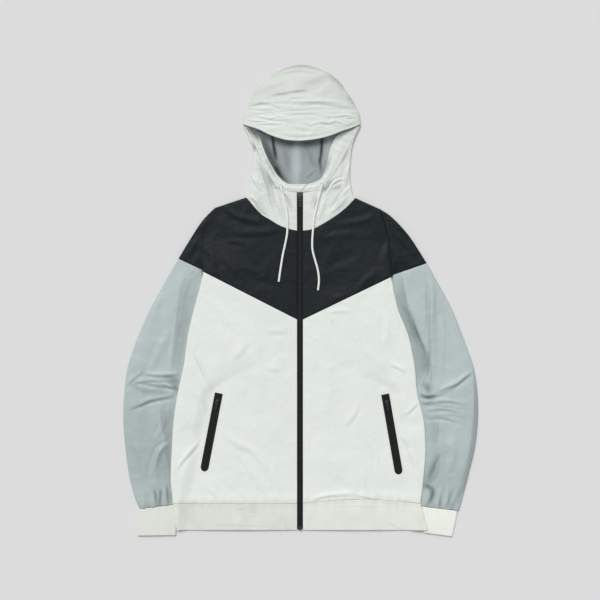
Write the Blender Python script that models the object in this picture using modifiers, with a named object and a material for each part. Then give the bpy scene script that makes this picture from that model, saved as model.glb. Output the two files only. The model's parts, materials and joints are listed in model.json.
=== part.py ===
"""Hooded windbreaker jacket lying on its back, zipped up, with the sleeves tucked behind its sides.

Frame: +Z up, +Y from the hem to the hood, +X to the wearer's left. The origin is on the underside of the
back panel, on the front zip's line. Sizes below are in millimetres and are turned to metres in the meshes.
Each cloth panel is an open grid, worked out from sections or from its edge curves, with a Solidify wall.
A place on a panel is written (a, y): a is the distance out from the zip's line, y is along the jacket.
"""

import math

import bmesh
import bpy
from mathutils import Matrix, Vector

MM = 0.001

# Cloth and layers
WALL = 1.2               # thickness of a cloth wall
SEAM = 0.3               # gap between two pieces at a seam
FOLD_SEAM = 0.9          # the same between middles where two walls meet on a fold
NECK_SEAM = 0.7
VISOR_WALL = 1.6
CASING_WALL = 2.0
BACK_MID = WALL / 2      # middle of a wall that lies on the surface
SLEEVE_HEIGHT = 5.0      # a flattened sleeve, over all
SLEEVE_CROWN = 1.2       # extra height of a sleeve where nothing lies on it
LIFT = 5.4               # how far the torso is carried up where it lies on a sleeve
RAMP = 20.0              # width of the slope beside a sleeve
RAMP_CLEAR = 4.0         # from a sleeve's inner fold to the top of that slope
FRONT_RISE = 3.0         # from the middle of the back wall to the middle of the front wall
LOFT = 1.4               # extra height in the middle of a front panel
FOLD = 2.0               # how far in from an edge a fold starts to turn
FOLD_HALFWAY = 0.29      # share of FOLD at which a fold has turned halfway
NEAR_ZIP = 24.0          # width beside the zip that lies level
COLLAR_FADE = (40.0, 60.0)   # distances out between which the collar's rise ends
CORNER_FADE = 70.0       # length over which the raised armpit corner comes down

# Front zip
ZIP_EDGE = 5.8           # from the zip's line to the edge of a front panel
ZIP_BOTTOM = -320.0
ZIP_TOP = 343.0
TAPE_INNER = 1.4
TAPE_OUTER = 11.0
TAPE_WALL = 1.0
TEETH_HALF = 2.4
TEETH_HEIGHT = 2.0
SLIDER_Y = 334.0
COLLAR_RISE = 2.0        # how much higher the zip lies at the chin
COLLAR_START = 262.0
COLLAR_END = 318.0

HEM_SEAM = -276.0
HEM_BOTTOM = -330.0
HOOD_SEAM_Z = 2.7        # height of the fold all round the hood
HOOD_DOME = 20.0         # how far the visor stands above that fold
CORD_RADIUS = 2.1
HEM_MIDDLE = -303.0      # y of the hem band's middle section
COLLAR_Z = 4.6           # middle height of the hood's side at its fold
COLLAR_CROWN = 1.4       # how much higher it lies beside the casing
CASING_Z = 5.9
CASING_ARCH = 0.7
LINING_Z = 2.1
TEETH_DROP = 0.7         # from the middle of the front wall down to the underside of the teeth
TAPE_DROP = 1.5          # from the middle of the front wall down to the middle of the zip tape
POCKET_RISE = 0.25       # extra height of a pocket zip's tape over the cloth
OCTAGON = 1 / math.cos(math.radians(22.5))   # corner radius of an octagon whose flats are 1 from its middle
HOOD_TURN = 1 - FOLD / 240                   # share of the hood's length where its top fold starts to turn
HOOD_SHARES = [0, 0.015, 0.05, 0.12, 0.22, 0.34, 0.5, 0.66, 0.78, 0.88, 0.95, 0.985, 1]

# Torso sections, one row each: y at the zip, y at the side, distance out to the side fold.
TORSO = {
    "right": [
        (91, 186, 192), (84, 174, 195.5), (72, 150, 201), (54, 110, 212), (22, 60, 223.5),
        (-14, 0, 232), (-60, -56, 244), (-110, -110, 252), (-170, -170, 256), (-226, -226, 258),
        (HEM_SEAM, HEM_SEAM, 254),
    ],
    "left": [
        (91, 176, 182), (84, 164, 184.5), (72, 140, 189.5), (54, 108, 197), (22, 60, 216),
        (-14, 0, 229), (-60, -56, 234), (-110, -110, 247), (-170, -170, 250.5), (-226, -226, 246.5),
        (HEM_SEAM, HEM_SEAM, 241),
    ],
}
HEM_SIDE = {"right": 246.0, "left": 255.0}
HEM_ARCH = {"right": 0.0, "left": 8.0}      # how far the hem's seam bows up between zip and side
SHOULDER_TIP = {"right": (170, 314), "left": (160, 311.5)}
SHOULDER_NECK = {"right": (108, 335), "left": (111, 334)}
ARMHOLE_BOW = {"right": 13.0, "left": 7.0}
BACK_NECK_DROP = 16.0
NECKLINE = {                                # (a, y) from the zip to the shoulder
    "right": [
        (ZIP_EDGE, 268), (20, 271), (40, 278), (60, 290), (76, 300), (88, 312), (100, 326), (108, 335),
    ],
    "left": [
        (ZIP_EDGE, 268), (20, 270), (32, 274), (60, 290), (80, 304), (92, 314), (104, 326), (111, 334),
    ],
}

# Sleeve sections, one row each: outer fold (a, y), inner fold (a, y). Inner folds lie under the torso.
CAP = {
    "right": [((196, 287), (193.6, 188.5)), ((222, 247), (194.6, 190)), ((242.6, 213), (195.6, 191.5))],
    "left": [((184, 295), (183.6, 178.5)), ((218, 258), (184.6, 180)), ((253, 204), (185.6, 181.5))],
}
SLEEVE = {
    "right": [
        ((243, 212.4), (196, 190.0)), ((254, 194), (198.5, 176)), ((264, 176), (186, 165)),
        ((284, 140), (157, 143)), ((303, 104), (138, 104)), ((327, 48), (150, 50)),
        ((344, -4), (176, -2)), ((351, -56), (200, -54)), ((353, -110), (212, -108)),
        ((348.5, -168), (222, -166)), ((341, -222), (232, -218)), ((330, -264), (240, -258)),
        ((320, -287), (243, -277)),
    ],
    "left": [
        ((253.4, 203.4), (186, 180.0)), ((263, 187), (188, 166)), ((272, 170), (176, 154)),
        ((291, 136), (150, 133)), ((308, 101), (134, 98)), ((331, 42), (150, 46)),
        ((347, -6), (178, -4)), ((354.5, -58), (206, -56)), ((355, -112), (215, -110)),
        ((349.5, -162), (225, -160)), ((339, -208), (231, -206)), ((328, -252), (235, -248)),
        ((317, -291), (240, -281)),
    ],
}
CUFF = {
    "right": [((323, -287.6), (244, -277.6)), ((325.5, -314), (246, -308)), ((325, -341), (248, -340))],
    "left": [((314.5, -291.2), (240.5, -281.6)), ((310, -316), (244, -309)), ((304, -342.5), (248, -335))],
}

# Hood outline (a, y) from the neck up to the temple, and from the temple up to the crown's shoulder.
HOOD_SIDE_EDGE = {
    "right": [(108, 335), (104, 343), (97, 372), (94.5, 410), (97, 444), (108, 468), (114, 479)],
    "left": [(111, 334), (105, 343), (100, 370), (100, 400), (104, 436), (112, 462), (121, 479)],
}
CROWN_EDGE = {
    "right": [(114, 481), (111, 496), (100, 524), (90, 549)],
    "left": [(121, 481), (118, 504), (104, 530), (91, 549)],
}
CROWN_TOP = [
    (-90, 549), (-76, 562), (-50, 583), (-20, 596), (0, 600), (20, 598), (56, 584), (78, 566), (91, 549),
]
VISOR_SEAM = [(-111.4, 495), (-80, 500), (0, 506), (80, 506), (118.4, 503)]
VISOR_EDGE = [
    (-113.5, 480.5), (-84, 470), (-60, 458), (-30, 448), (0, 446),
    (30, 449), (56, 455), (90, 468), (120.5, 480.5),
]

# Drawstring casing sections, temple to chin: outer line (a, y), mouth line (a, y).
CASING = {
    "right": [
        ((109, 476), (101, 475)), ((98, 456), (82, 458)), ((88, 434), (72, 438)), ((78, 412), (62, 416)),
        ((67, 390), (51, 396)), ((55, 368), (40, 377)), ((42, 353), (26, 363)), ((22, 347), (10, 361.5)),
        ((0.3, 345.4), (-15, 361.5)),
    ],
    "left": [
        ((117, 476), (108, 474)), ((106, 452), (77, 461)), ((94, 430), (66, 446)), ((84, 410), (59, 428)),
        ((72, 390), (55, 408)), ((60, 372), (50, 388)), ((46, 354), (42, 373)), ((24, 347), (30, 366)),
        ((0.3, 345.4), (16, 361.5)),
    ],
}

# Slanted pocket zips: top and bottom middle (a, y).
POCKET = {"right": ((162, -56), (192, -212)), "left": ((170, -58), (198, -218))}
POCKET_HALF = 8.0
POCKET_ROUND = 9.0
POCKET_SLIDER_DOWN = 18.0
POCKET_SCALE = 0.75

EYELET = {"right": (38, 356.5), "left": (43.5, 360)}
EYELET_OUTER = 4.0
EYELET_HOLE = 2.5
EYELET_HEIGHT = 0.9

# Drawstring routes: x, y and how far the cord's underside is above the cloth.
DRAWSTRING = {
    "right": [
        (-38, 356.5, 1.4), (-37, 351, 2.2), (-34.5, 342, 0.6), (-31, 327, 0.4), (-27, 310, 0.4),
        (-25.5, 294, 0.4), (-25.5, 278, 0.4), (-25.5, 264, 0.4), (-29, 244, 0.4), (-33.5, 224, 0.4),
        (-37, 204, 0.4), (-40, 184, 0.4), (-42.4, 167, 0.4),
    ],
    "left": [
        (43.5, 360, 1.4), (42.5, 354, 2.2), (40, 344, 0.6), (35.5, 328, 0.4), (32, 312, 0.4),
        (28, 295, 0.4), (26.5, 276, 0.4), (24.5, 250, 0.4), (25, 230, 0.4), (30, 210, 0.4),
        (35.5, 190, 0.4), (37.8, 170, 0.4), (36, 150, 0.4),
    ],
}
CORD_POINTS = 36

SIGN = {"right": -1, "left": 1}


# ---- small helpers -------------------------------------------------------------------------------

def lerp(p, q, t):
    return tuple(a + (b - a) * t for a, b in zip(p, q))


def clamp(value, low=0.0, high=1.0):
    return max(low, min(high, value))


def table_value(rows, y, column):
    """Value of a column at y, from rows of (y, value, ...) sorted by falling y."""
    if y >= rows[0][0]:
        return rows[0][column]
    for upper, lower in zip(rows, rows[1:]):
        if y >= lower[0]:
            share = (upper[0] - y) / (upper[0] - lower[0])
            return upper[column] + (lower[column] - upper[column]) * share
    return rows[-1][column]


def along(points, t):
    """Point at share t of a polyline's length."""
    lengths = [math.dist(p, q) for p, q in zip(points, points[1:])]
    left = clamp(t) * sum(lengths)
    for p, q, length in zip(points, points[1:], lengths):
        if left <= length or q is points[-1]:
            return lerp(p, q, clamp(left / length) if length else 0.0)
        left -= length
    return points[-1]


def length_shares(points):
    """Share of a polyline's length at each of its points."""
    lengths = [math.dist(p, q) for p, q in zip(points, points[1:])]
    return [sum(lengths[:i]) / sum(lengths) for i in range(len(points))]


def smooth_curve(points, count):
    """Catmull-Rom curve through the points, read at count even steps."""
    ends = [lerp(points[1], points[0], 2)] + list(points) + [lerp(points[-2], points[-1], 2)]
    dense = []
    for i in range(1, len(ends) - 2):
        p0, p1, p2, p3 = ends[i - 1:i + 3]
        for step in range(12):
            t = step / 12
            dense.append(tuple(
                0.5 * (2 * b + (c - a) * t + (2 * a - 5 * b + 4 * c - d) * t ** 2
                       + (3 * b - a - 3 * c + d) * t ** 3)
                for a, b, c, d in zip(p0, p1, p2, p3)
            ))
    dense.append(tuple(points[-1]))
    return [along(dense, i / (count - 1)) for i in range(count)]


def coons(bottom, top, start, end, u, v):
    """Point (u, v) of the patch between four edge functions that share their corners."""
    ruled_v = lerp(bottom(u), top(u), v)
    ruled_u = lerp(start(v), end(v), u)
    corners = lerp(lerp(bottom(0), bottom(1), u), lerp(top(0), top(1), u), v)
    return tuple(a + b - c for a, b, c in zip(ruled_v, ruled_u, corners))


def fold_shares(width, count, at_start, at_end, fold=FOLD):
    """Shares of a row's width with close stations where an edge folds over."""
    turn = [0.0, FOLD_HALFWAY * fold / width, fold / width]
    low = turn if at_start else [0.0]
    high = [1 - t for t in reversed(turn)] if at_end else [1.0]
    inner = [low[-1] + (high[0] - low[-1]) * i / (count + 1) for i in range(1, count + 1)]
    return low + inner + high


# ---- heights of the layers -----------------------------------------------------------------------

def sleeve_inner(side, y):
    """Distance out to the sleeve's inner fold, under the torso."""
    rows = [(inner[1], inner[0]) for _, inner in SLEEVE[side][1:] + CUFF[side][1:]]
    return table_value(rows, y, 1)


def torso_edge(side, y):
    return table_value([(row[1], row[2]) for row in TORSO[side]], y, 1)


def ramp(side, y, edge=None):
    """Foot and top of the slope beside the sleeve, as distances out."""
    limit = torso_edge(side, y) if edge is None else edge
    top = min(sleeve_inner(side, y) - RAMP_CLEAR, limit - FOLD - 4.0)
    return top - RAMP, top


def lift(side, a, y):
    """How far a sleeve below carries the cloth up at (a, y)."""
    foot, top = ramp(side, min(y, TORSO[side][0][1]))
    return LIFT * clamp((a - foot) / (top - foot))


def back_z(side, a, y):
    """Middle of the back wall. It comes down to the surface at the armpit's height."""
    armpit, lifted = TORSO[side][0][1], TORSO[side][1][1]
    return BACK_MID + lift(side, a, y) * clamp((armpit - y) / (armpit - lifted))


def front_z(side, a, y):
    """Middle of the front wall."""
    foot = ramp(side, min(y, TORSO[side][0][1]))[0]
    fade = 1 - clamp((y - TORSO[side][0][1]) / CORNER_FADE)
    loft = LOFT * math.sin(math.pi * clamp((a - ZIP_EDGE) / (foot - ZIP_EDGE)))
    rise = COLLAR_RISE * clamp((y - COLLAR_START) / (COLLAR_END - COLLAR_START))
    near = clamp((COLLAR_FADE[1] - a) / COLLAR_FADE[0])
    return BACK_MID + FRONT_RISE + loft + lift(side, a, y) * fade + rise * near


def fold_z(outer, other, turn, gap):
    """Height in a fold between two walls; turn is 0 at the seam and 1 where the wall lies flat."""
    middle = (outer + other) / 2
    return middle + (outer - middle) * math.sin(turn * math.pi / 2) + gap * (1 - turn)


# ---- objects -------------------------------------------------------------------------------------

def clear_scene():
    for item in list(bpy.data.objects):
        bpy.data.objects.remove(item)


def new_collection(name):
    collection = bpy.data.collections.new(name)
    bpy.context.scene.collection.children.link(collection)
    return collection


def new_material(name, colour, roughness, metallic=0.0):
    material = bpy.data.materials.new(name)
    material.use_nodes = True
    shader = material.node_tree.nodes["Principled BSDF"]
    shader.inputs["Base Color"].default_value = (*colour, 1)
    shader.inputs["Roughness"].default_value = roughness
    shader.inputs["Metallic"].default_value = metallic
    material.diffuse_color = (*colour, 1)
    return material


def add_object(name, data, material, collection):
    item = bpy.data.objects.new(name, data)
    data.materials.append(material)
    collection.objects.link(item)
    return item


def cloth(name, grid, material, collection, wall=WALL, closed=False, even=True):
    """Cloth wall on a grid of middle points in millimetres; closed joins each row's ends."""
    mesh = bpy.data.meshes.new(name)
    shape = bmesh.new()
    rows = [[shape.verts.new(Vector(p) * MM) for p in row] for row in grid]
    for lower, upper in zip(rows, rows[1:]):
        count = len(lower)
        for i in range(count if closed else count - 1):
            j = (i + 1) % count
            shape.faces.new((lower[i], lower[j], upper[j], upper[i]))
    bmesh.ops.recalc_face_normals(shape, faces=shape.faces)
    shape.to_mesh(mesh)
    shape.free()
    mesh.shade_smooth()
    item = add_object(name, mesh, material, collection)
    solid = item.modifiers.new("wall", "SOLIDIFY")
    solid.thickness = wall * MM
    solid.offset = 0
    solid.use_even_offset = even
    return item


def block(name, size, centre, material, collection, bevel=0.0, turn=0.0):
    """Box with rounded edges; size and centre in millimetres, turn about Z in radians."""
    mesh = bpy.data.meshes.new(name)
    shape = bmesh.new()
    bmesh.ops.create_cube(shape, size=1.0)
    bmesh.ops.scale(shape, vec=Vector(size) * MM, verts=shape.verts)
    shape.to_mesh(mesh)
    shape.free()
    item = add_object(name, mesh, material, collection)
    item.location = Vector(centre) * MM
    item.rotation_euler = (0, 0, turn)
    if bevel:
        edge = item.modifiers.new("edges", "BEVEL")
        edge.width = bevel * MM
        edge.segments = 2
    return item


# ---- torso ---------------------------------------------------------------------------------------

def front_row(side, row, shift=0.0, arch=0.0):
    """One section of a front panel, zip to side fold, as (x, y, z) points."""
    y_zip, y_side, edge = row
    width = edge - ZIP_EDGE

    def row_y(a):
        share = clamp((a - ZIP_EDGE) / width)
        return y_zip + (y_side - y_zip) * share + arch * math.sin(math.pi * share)

    top = edge - FOLD - 4.0
    for _ in range(6):
        foot, top = ramp(side, min(row_y(top), TORSO[side][0][1]), edge)
    flat = edge - FOLD
    third = (foot - NEAR_ZIP) / 3
    stations = [ZIP_EDGE] + [NEAR_ZIP + third * i for i in range(3)] + [foot, top, (top + flat) / 2, flat]
    points = [(a, row_y(a), front_z(side, a, row_y(a))) for a in stations]
    above = front_z(side, flat, y_side)
    below = back_z(side, flat, y_side)
    points.append((edge - FOLD_HALFWAY * FOLD, y_side, fold_z(above, below, 0.5, FOLD_SEAM / 2)))
    points.append((edge, y_side, fold_z(above, below, 0.0, FOLD_SEAM / 2)))
    return [(SIGN[side] * a, y + shift, z) for a, y, z in points]


def back_half_row(side, row):
    """Half of a back section, middle to side fold."""
    _, y, edge = row
    foot, top = ramp(side, y, edge)
    flat = edge - FOLD
    stations = [0.0, foot / 3, foot * 2 / 3, foot, top, (top + flat) / 2, flat]
    points = [(a, y, back_z(side, a, y)) for a in stations]
    above = front_z(side, flat, y)
    below = back_z(side, flat, y)
    points.append((edge - FOLD_HALFWAY * FOLD, y, fold_z(below, above, 0.5, -FOLD_SEAM / 2)))
    points.append((edge, y, fold_z(below, above, 0.0, -FOLD_SEAM / 2)))
    return [(SIGN[side] * a, b, z) for a, b, z in points]


def back_row(right, left, shift=0.0):
    """A whole back section; its y runs evenly from one side to the other."""
    half_right = back_half_row("right", right)
    half_left = back_half_row("left", left)
    middle = (0.0, (right[1] + left[1]) / 2, BACK_MID)
    joined = half_right[:0:-1] + [middle] + half_left[1:]
    first, last = joined[0][0], joined[-1][0]
    levelled = []
    for x, _, z in joined:
        share = (x - first) / (last - first)
        levelled.append((x, right[1] + (left[1] - right[1]) * share + shift, z))
    return levelled


def hem_middle(side):
    """Section of the hem band midway down."""
    return HEM_MIDDLE, HEM_MIDDLE, (TORSO[side][-1][2] + HEM_SIDE[side]) / 2


def make_torso(materials, parts):
    for side in SIGN:
        rows = TORSO[side]
        grid = [front_row(side, rows[0], shift=-SEAM / 2)]
        grid += [front_row(side, row) for row in rows[1:-1]]
        grid += [front_row(side, rows[-1], shift=SEAM / 2, arch=HEM_ARCH[side])]
        cloth(f"front_body_{side}", grid, materials["white"], parts)
        band = [
            front_row(side, rows[-1], shift=-SEAM / 2, arch=HEM_ARCH[side]),
            front_row(side, hem_middle(side), arch=HEM_ARCH[side] / 3),
            front_row(side, (HEM_BOTTOM, HEM_BOTTOM, HEM_SIDE[side])),
        ]
        cloth(f"hem_front_{side}", band, materials["rib"], parts)
    pairs = list(zip(TORSO["right"], TORSO["left"]))
    grid = [back_row(*pairs[0], shift=-SEAM / 2)]
    grid += [back_row(*pair) for pair in pairs[1:-1]]
    grid += [back_row(*pairs[-1], shift=SEAM / 2)]
    cloth("back_body", grid, materials["white"], parts)
    middle = [hem_middle(side) for side in SIGN]
    bottom = [(HEM_BOTTOM, HEM_BOTTOM, HEM_SIDE[side]) for side in SIGN]
    band = [back_row(*pairs[-1], shift=-SEAM / 2), back_row(*middle), back_row(*bottom)]
    cloth("hem_back", band, materials["rib"], parts)


# ---- yokes ---------------------------------------------------------------------------------------

def armhole(side, w, outset=0.0):
    """Point (a, y) of the armhole seam: w is 0 at the shoulder tip and 1 at the armpit."""
    tip = SHOULDER_TIP[side]
    pit = (TORSO[side][0][2], TORSO[side][0][1])
    a, y = lerp(tip, pit, w)
    along_seam = math.dist(tip, pit)
    normal = ((tip[1] - pit[1]) / along_seam, (pit[0] - tip[0]) / along_seam)
    out = ARMHOLE_BOW[side] * math.sin(math.pi * w) + outset
    return a + normal[0] * out, y + normal[1] * out


def make_front_yoke(side, materials, parts):
    pit = (TORSO[side][0][2], TORSO[side][0][1])
    neck_share = 0.64
    neck_points = [(a, y - NECK_SEAM / 2) for a, y in NECKLINE[side]]
    neck_end = neck_points[-1]
    tip = SHOULDER_TIP[side]
    low = (ZIP_EDGE, TORSO[side][0][0] + SEAM / 2)
    high = (pit[0], pit[1] + SEAM / 2)

    def bottom(u):
        return lerp(low, high, u)

    def top(u):
        if u <= neck_share:
            return along(neck_points, u / neck_share)
        return lerp(neck_end, tip, (u - neck_share) / (1 - neck_share))

    def start(v):
        return lerp(low, neck_points[0], v)

    def end(v):
        a, y = armhole(side, 1 - v)
        return a, y + (SEAM / 2) * (1 - v)

    grid = []
    shares_u = [neck_share * i / 5 for i in range(5)] + [neck_share, 0.76, 0.88, 1.0]
    length = math.dist(tip, pit)
    shares_v = fold_shares(length, 6, False, True)
    for index, v in enumerate(shares_v):
        row = []
        for u in shares_u:
            a, y = coons(bottom, top, start, end, u, v)
            z = front_z(side, a, y)
            if u >= neck_share and index >= len(shares_v) - 2:
                turn = 0.5 if index == len(shares_v) - 2 else 0.0
                z = fold_z(z, BACK_MID, turn, FOLD_SEAM / 2)
            row.append((SIGN[side] * a, y, z))
        grid.append(row)
    cloth(f"front_yoke_{side}", grid, materials["black"], parts)


def back_neck(share):
    """Back neckline point (x, y); share runs from the right shoulder to the left."""
    start = (-SHOULDER_NECK["right"][0], SHOULDER_NECK["right"][1])
    end = SHOULDER_NECK["left"]
    x, y = lerp(start, end, share)
    return x, y - BACK_NECK_DROP * math.sin(math.pi * share)


def make_back_yoke(materials, parts):
    neck_from, neck_to = 0.19, 0.83
    right_tip = (-SHOULDER_TIP["right"][0], SHOULDER_TIP["right"][1])
    left_tip = SHOULDER_TIP["left"]
    neck_right, neck_left = ((x, y - NECK_SEAM / 2) for x, y in (back_neck(0), back_neck(1)))

    def bottom(u):
        first, last = TORSO["right"][0], TORSO["left"][0]
        return lerp((-first[2], first[1] + SEAM / 2), (last[2], last[1] + SEAM / 2), u)

    def top(u):
        if u < neck_from:
            return lerp(right_tip, neck_right, u / neck_from)
        if u > neck_to:
            return lerp(neck_left, left_tip, (u - neck_to) / (1 - neck_to))
        x, y = back_neck((u - neck_from) / (neck_to - neck_from))
        return x, y - NECK_SEAM / 2

    def start(v):
        a, y = armhole("right", 1 - v)
        return -a, y + (SEAM / 2) * (1 - v)

    def end(v):
        a, y = armhole("left", 1 - v)
        return a, y + (SEAM / 2) * (1 - v)

    shares_u = [0, 0.07, 0.13, neck_from, 0.3, 0.4, 0.51, 0.62, 0.73, neck_to, 0.89, 0.95, 1]
    shares_v = fold_shares(math.dist(right_tip, bottom(0)), 6, False, True)
    grid = []
    for index, v in enumerate(shares_v):
        row = []
        for u in shares_u:
            x, y = coons(bottom, top, start, end, u, v)
            z = BACK_MID
            if (u <= neck_from or u >= neck_to) and index >= len(shares_v) - 2:
                side = "right" if x < 0 else "left"
                turn = 0.5 if index == len(shares_v) - 2 else 0.0
                z = fold_z(BACK_MID, front_z(side, abs(x), y), turn, -FOLD_SEAM / 2)
            row.append((x, y, z))
        grid.append(row)
    cloth("back_yoke", grid, materials["black"], parts)


# ---- sleeves -------------------------------------------------------------------------------------

def tube_ring(side, point_at, width, top_z, interior=6, fold=FOLD):
    """Closed flattened section: point_at(w) is its line in plan, top_z(w) its upper wall's middle."""
    shares = fold_shares(width, interior, True, True, fold)
    last = len(shares) - 1
    upper = []
    lower = []
    for index, w in enumerate(shares):
        a, y = point_at(w)
        turn = 1.0
        if index in (0, last):
            turn = 0.0
        if index in (1, last - 1):
            turn = 0.5
        crown = top_z(w)
        upper.append((SIGN[side] * a, y, fold_z(crown, BACK_MID, turn, 0.0)))
        lower.append((SIGN[side] * a, y, fold_z(BACK_MID, crown, turn, 0.0)))
    return upper + lower[-2:0:-1]


def section_ring(side, outer, inner, crown):
    """Sleeve section between two folds; the crown rises only where the torso doesn't lie on it."""
    edge = torso_edge(side, inner[1])
    open_share = clamp((outer[0] - edge - 6) / (outer[0] - inner[0]), 0.2, 1.0)

    def top_z(w):
        return SLEEVE_HEIGHT - WALL / 2 + crown * math.sin(math.pi * clamp(w / open_share))

    return tube_ring(side, lambda w: lerp(outer, inner, w), math.dist(outer, inner), top_z)


def make_cap(side, materials, parts):
    """Sleeve cap: a wedge that fans from the armhole seam to the seam with the sleeve."""
    length = math.dist(armhole(side, 0), armhole(side, 1))

    def seam_z(w):
        return front_z(side, *armhole(side, w))

    rings = [tube_ring(side, lambda w: armhole(side, w, 1.0), length, seam_z)]
    for number, (outer, inner) in enumerate(CAP[side], start=1):
        share = number / len(CAP[side])
        bow = ARMHOLE_BOW[side] * (1 - share)
        normal = Vector((outer[1] - inner[1], inner[0] - outer[0])).normalized()

        def ring_point(w, outer=outer, inner=inner, bow=bow, normal=normal):
            a, y = lerp(outer, inner, w)
            out = bow * math.sin(math.pi * w)
            return a + normal.x * out, y + normal.y * out

        def ring_z(w, share=share):
            end = SLEEVE_HEIGHT - WALL / 2
            return seam_z(w) + (end - seam_z(w)) * share

        rings.append(tube_ring(side, ring_point, math.dist(outer, inner), ring_z))
    cloth(f"sleeve_cap_{side}", rings, materials["black"], parts, closed=True, even=False)


def make_sleeve(side, materials, parts):
    crowns = [0.0] + [SLEEVE_CROWN] * (len(SLEEVE[side]) - 2) + [0.4]
    rings = [
        section_ring(side, outer, inner, crown)
        for (outer, inner), crown in zip(SLEEVE[side], crowns)
    ]
    cloth(f"sleeve_{side}", rings, materials["grey"], parts, closed=True)
    rings = [section_ring(side, outer, inner, 0.4) for outer, inner in CUFF[side]]
    cloth(f"cuff_{side}", rings, materials["rib"], parts, closed=True)


# ---- hood ----------------------------------------------------------------------------------------

def make_hood_side(side, materials, parts):
    """Side panel of the hood with its part of the collar, from the neckline to the temple."""
    neck_points = [(a, y + NECK_SEAM / 2) for a, y in reversed(NECKLINE[side])]
    outer_points = [neck_points[0]] + HOOD_SIDE_EDGE[side][1:]
    zip_low = neck_points[-1]
    casing_line = [outer for outer, _ in reversed(CASING[side])]
    zip_high = (ZIP_EDGE, casing_line[0][1] - 0.7)
    inner_points = [lerp(zip_low, zip_high, i / 3) for i in range(4)]
    inner_points += [(a + 0.4, y - 0.4) for a, y in casing_line[1:]]
    shares_v = length_shares(inner_points)
    zip_share = shares_v[3]

    def bottom(u):
        return along(neck_points, u)

    def top(u):
        return lerp(outer_points[-1], inner_points[-1], u)

    def start(v):
        return along(outer_points, v)

    def end(v):
        return along(inner_points, v)

    grid = []
    for v in shares_v:
        width = math.dist(start(v), end(v))
        row = []
        for index, u in enumerate(fold_shares(width, 4, True, False, min(FOLD, width * 0.3))):
            a, y = coons(bottom, top, start, end, u, v)
            settle = clamp(v / zip_share)
            flat = COLLAR_Z + COLLAR_CROWN * math.sin(math.pi * u / 2)
            z = front_z(side, *bottom(u)) * (1 - settle) + flat * settle
            if u > 0.999 and v <= zip_share:
                z = front_z(side, ZIP_EDGE, y)
            if index < 2:
                z = HOOD_SEAM_Z + FOLD_SEAM / 2 + (z - HOOD_SEAM_Z) * (0.0, 0.7)[index]
            row.append((SIGN[side] * a, y, z))
        grid.append(row)
    cloth(f"hood_side_{side}", grid, materials["white"], parts)


def casing_z(share):
    """Middle height across the casing: it arches over the drawstring."""
    return CASING_Z + CASING_ARCH * math.sin(math.pi * share)


def make_casing(side, materials, parts):
    grid = []
    for outer, inner in CASING[side]:
        row = []
        for share in (0.0, 0.5, 1.0):
            a, y = lerp(outer, inner, share)
            row.append((SIGN[side] * a, y, casing_z(share)))
        grid.append(row)
    cloth(f"hood_casing_{side}", grid, materials["white"], parts, wall=CASING_WALL)


def hood_front_z(u, fall=0.0):
    """Height of the crown and visor across the hood, u from right to left; fall is 1 at the top fold."""
    across = (1 - abs(2 * u - 1) ** 2.4) ** 0.6
    return HOOD_SEAM_Z + HOOD_DOME * across * (1 - fall ** 2.2) ** 0.7


def make_hood_front(materials, parts):
    """Visor and crown: one domed surface from the visor's edge to the top fold, cut at the visor's seam."""
    visor = []
    for v in (0.0, 0.5, 1.0):
        row = []
        for u in HOOD_SHARES:
            low = along(VISOR_EDGE, u)
            high = along(VISOR_SEAM, u)
            x, y = lerp(low, (high[0], high[1] - SEAM), v)
            row.append((x, y, hood_front_z(u) + FOLD_SEAM * 0.6))
        visor.append(row)
    cloth("hood_visor", visor, materials["white"], parts, wall=VISOR_WALL)

    def bottom(u):
        x, y = along(VISOR_SEAM, u)
        return x, y + SEAM

    def top(u):
        return along(CROWN_TOP, u)

    right_edge = [bottom(0)] + [(-a, y) for a, y in CROWN_EDGE["right"][2:]]
    left_edge = [bottom(1)] + CROWN_EDGE["left"][2:]

    def start(v):
        return along(right_edge, v)

    def end(v):
        return along(left_edge, v)

    crown = []
    for v in (0, 0.2, 0.4, 0.6, 0.78, 0.9, 0.97, 0.992, 1):
        row = []
        for u in HOOD_SHARES:
            x, y = coons(bottom, top, start, end, u, v)
            row.append((x, y, hood_front_z(u, v) + FOLD_SEAM * 0.6))
        crown.append(row)
    cloth("hood_crown", crown, materials["white"], parts)


def make_hood_back(materials, parts):
    """Back of the hood, on the surface; its edges turn up to the fold all round."""
    def bottom(u):
        x, y = back_neck(u)
        return x, y + NECK_SEAM / 2

    def top(u):
        return along(CROWN_TOP, u)

    right_edge = [bottom(0)] + [(-a, y) for a, y in HOOD_SIDE_EDGE["right"][1:] + CROWN_EDGE["right"]]
    left_edge = [bottom(1)] + HOOD_SIDE_EDGE["left"][1:] + CROWN_EDGE["left"]

    def start(v):
        return along(right_edge, v)

    def end(v):
        return along(left_edge, v)

    shares_v = [0, 0.1, 0.22, 0.36, 0.48, 0.58, 0.66, 0.76, 0.88, 0.96, HOOD_TURN, 1]
    grid = []
    for v in shares_v:
        row_start, row_end = along(right_edge, v), along(left_edge, v)
        shares_u = fold_shares(math.dist(row_start, row_end), 7, True, True)
        last = len(shares_u) - 1
        row = []
        for index, u in enumerate(shares_u):
            x, y = coons(bottom, top, start, end, u, v)
            turn = 1.0
            if index in (1, last - 1):
                turn = 0.5
            if index in (0, last) or v == 1:
                turn = 0.0
            row.append((x, y, fold_z(BACK_MID, 2 * HOOD_SEAM_Z - BACK_MID, turn, -FOLD_SEAM / 2)))
        grid.append(row)
    cloth("hood_back", grid, materials["white"], parts)


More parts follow.
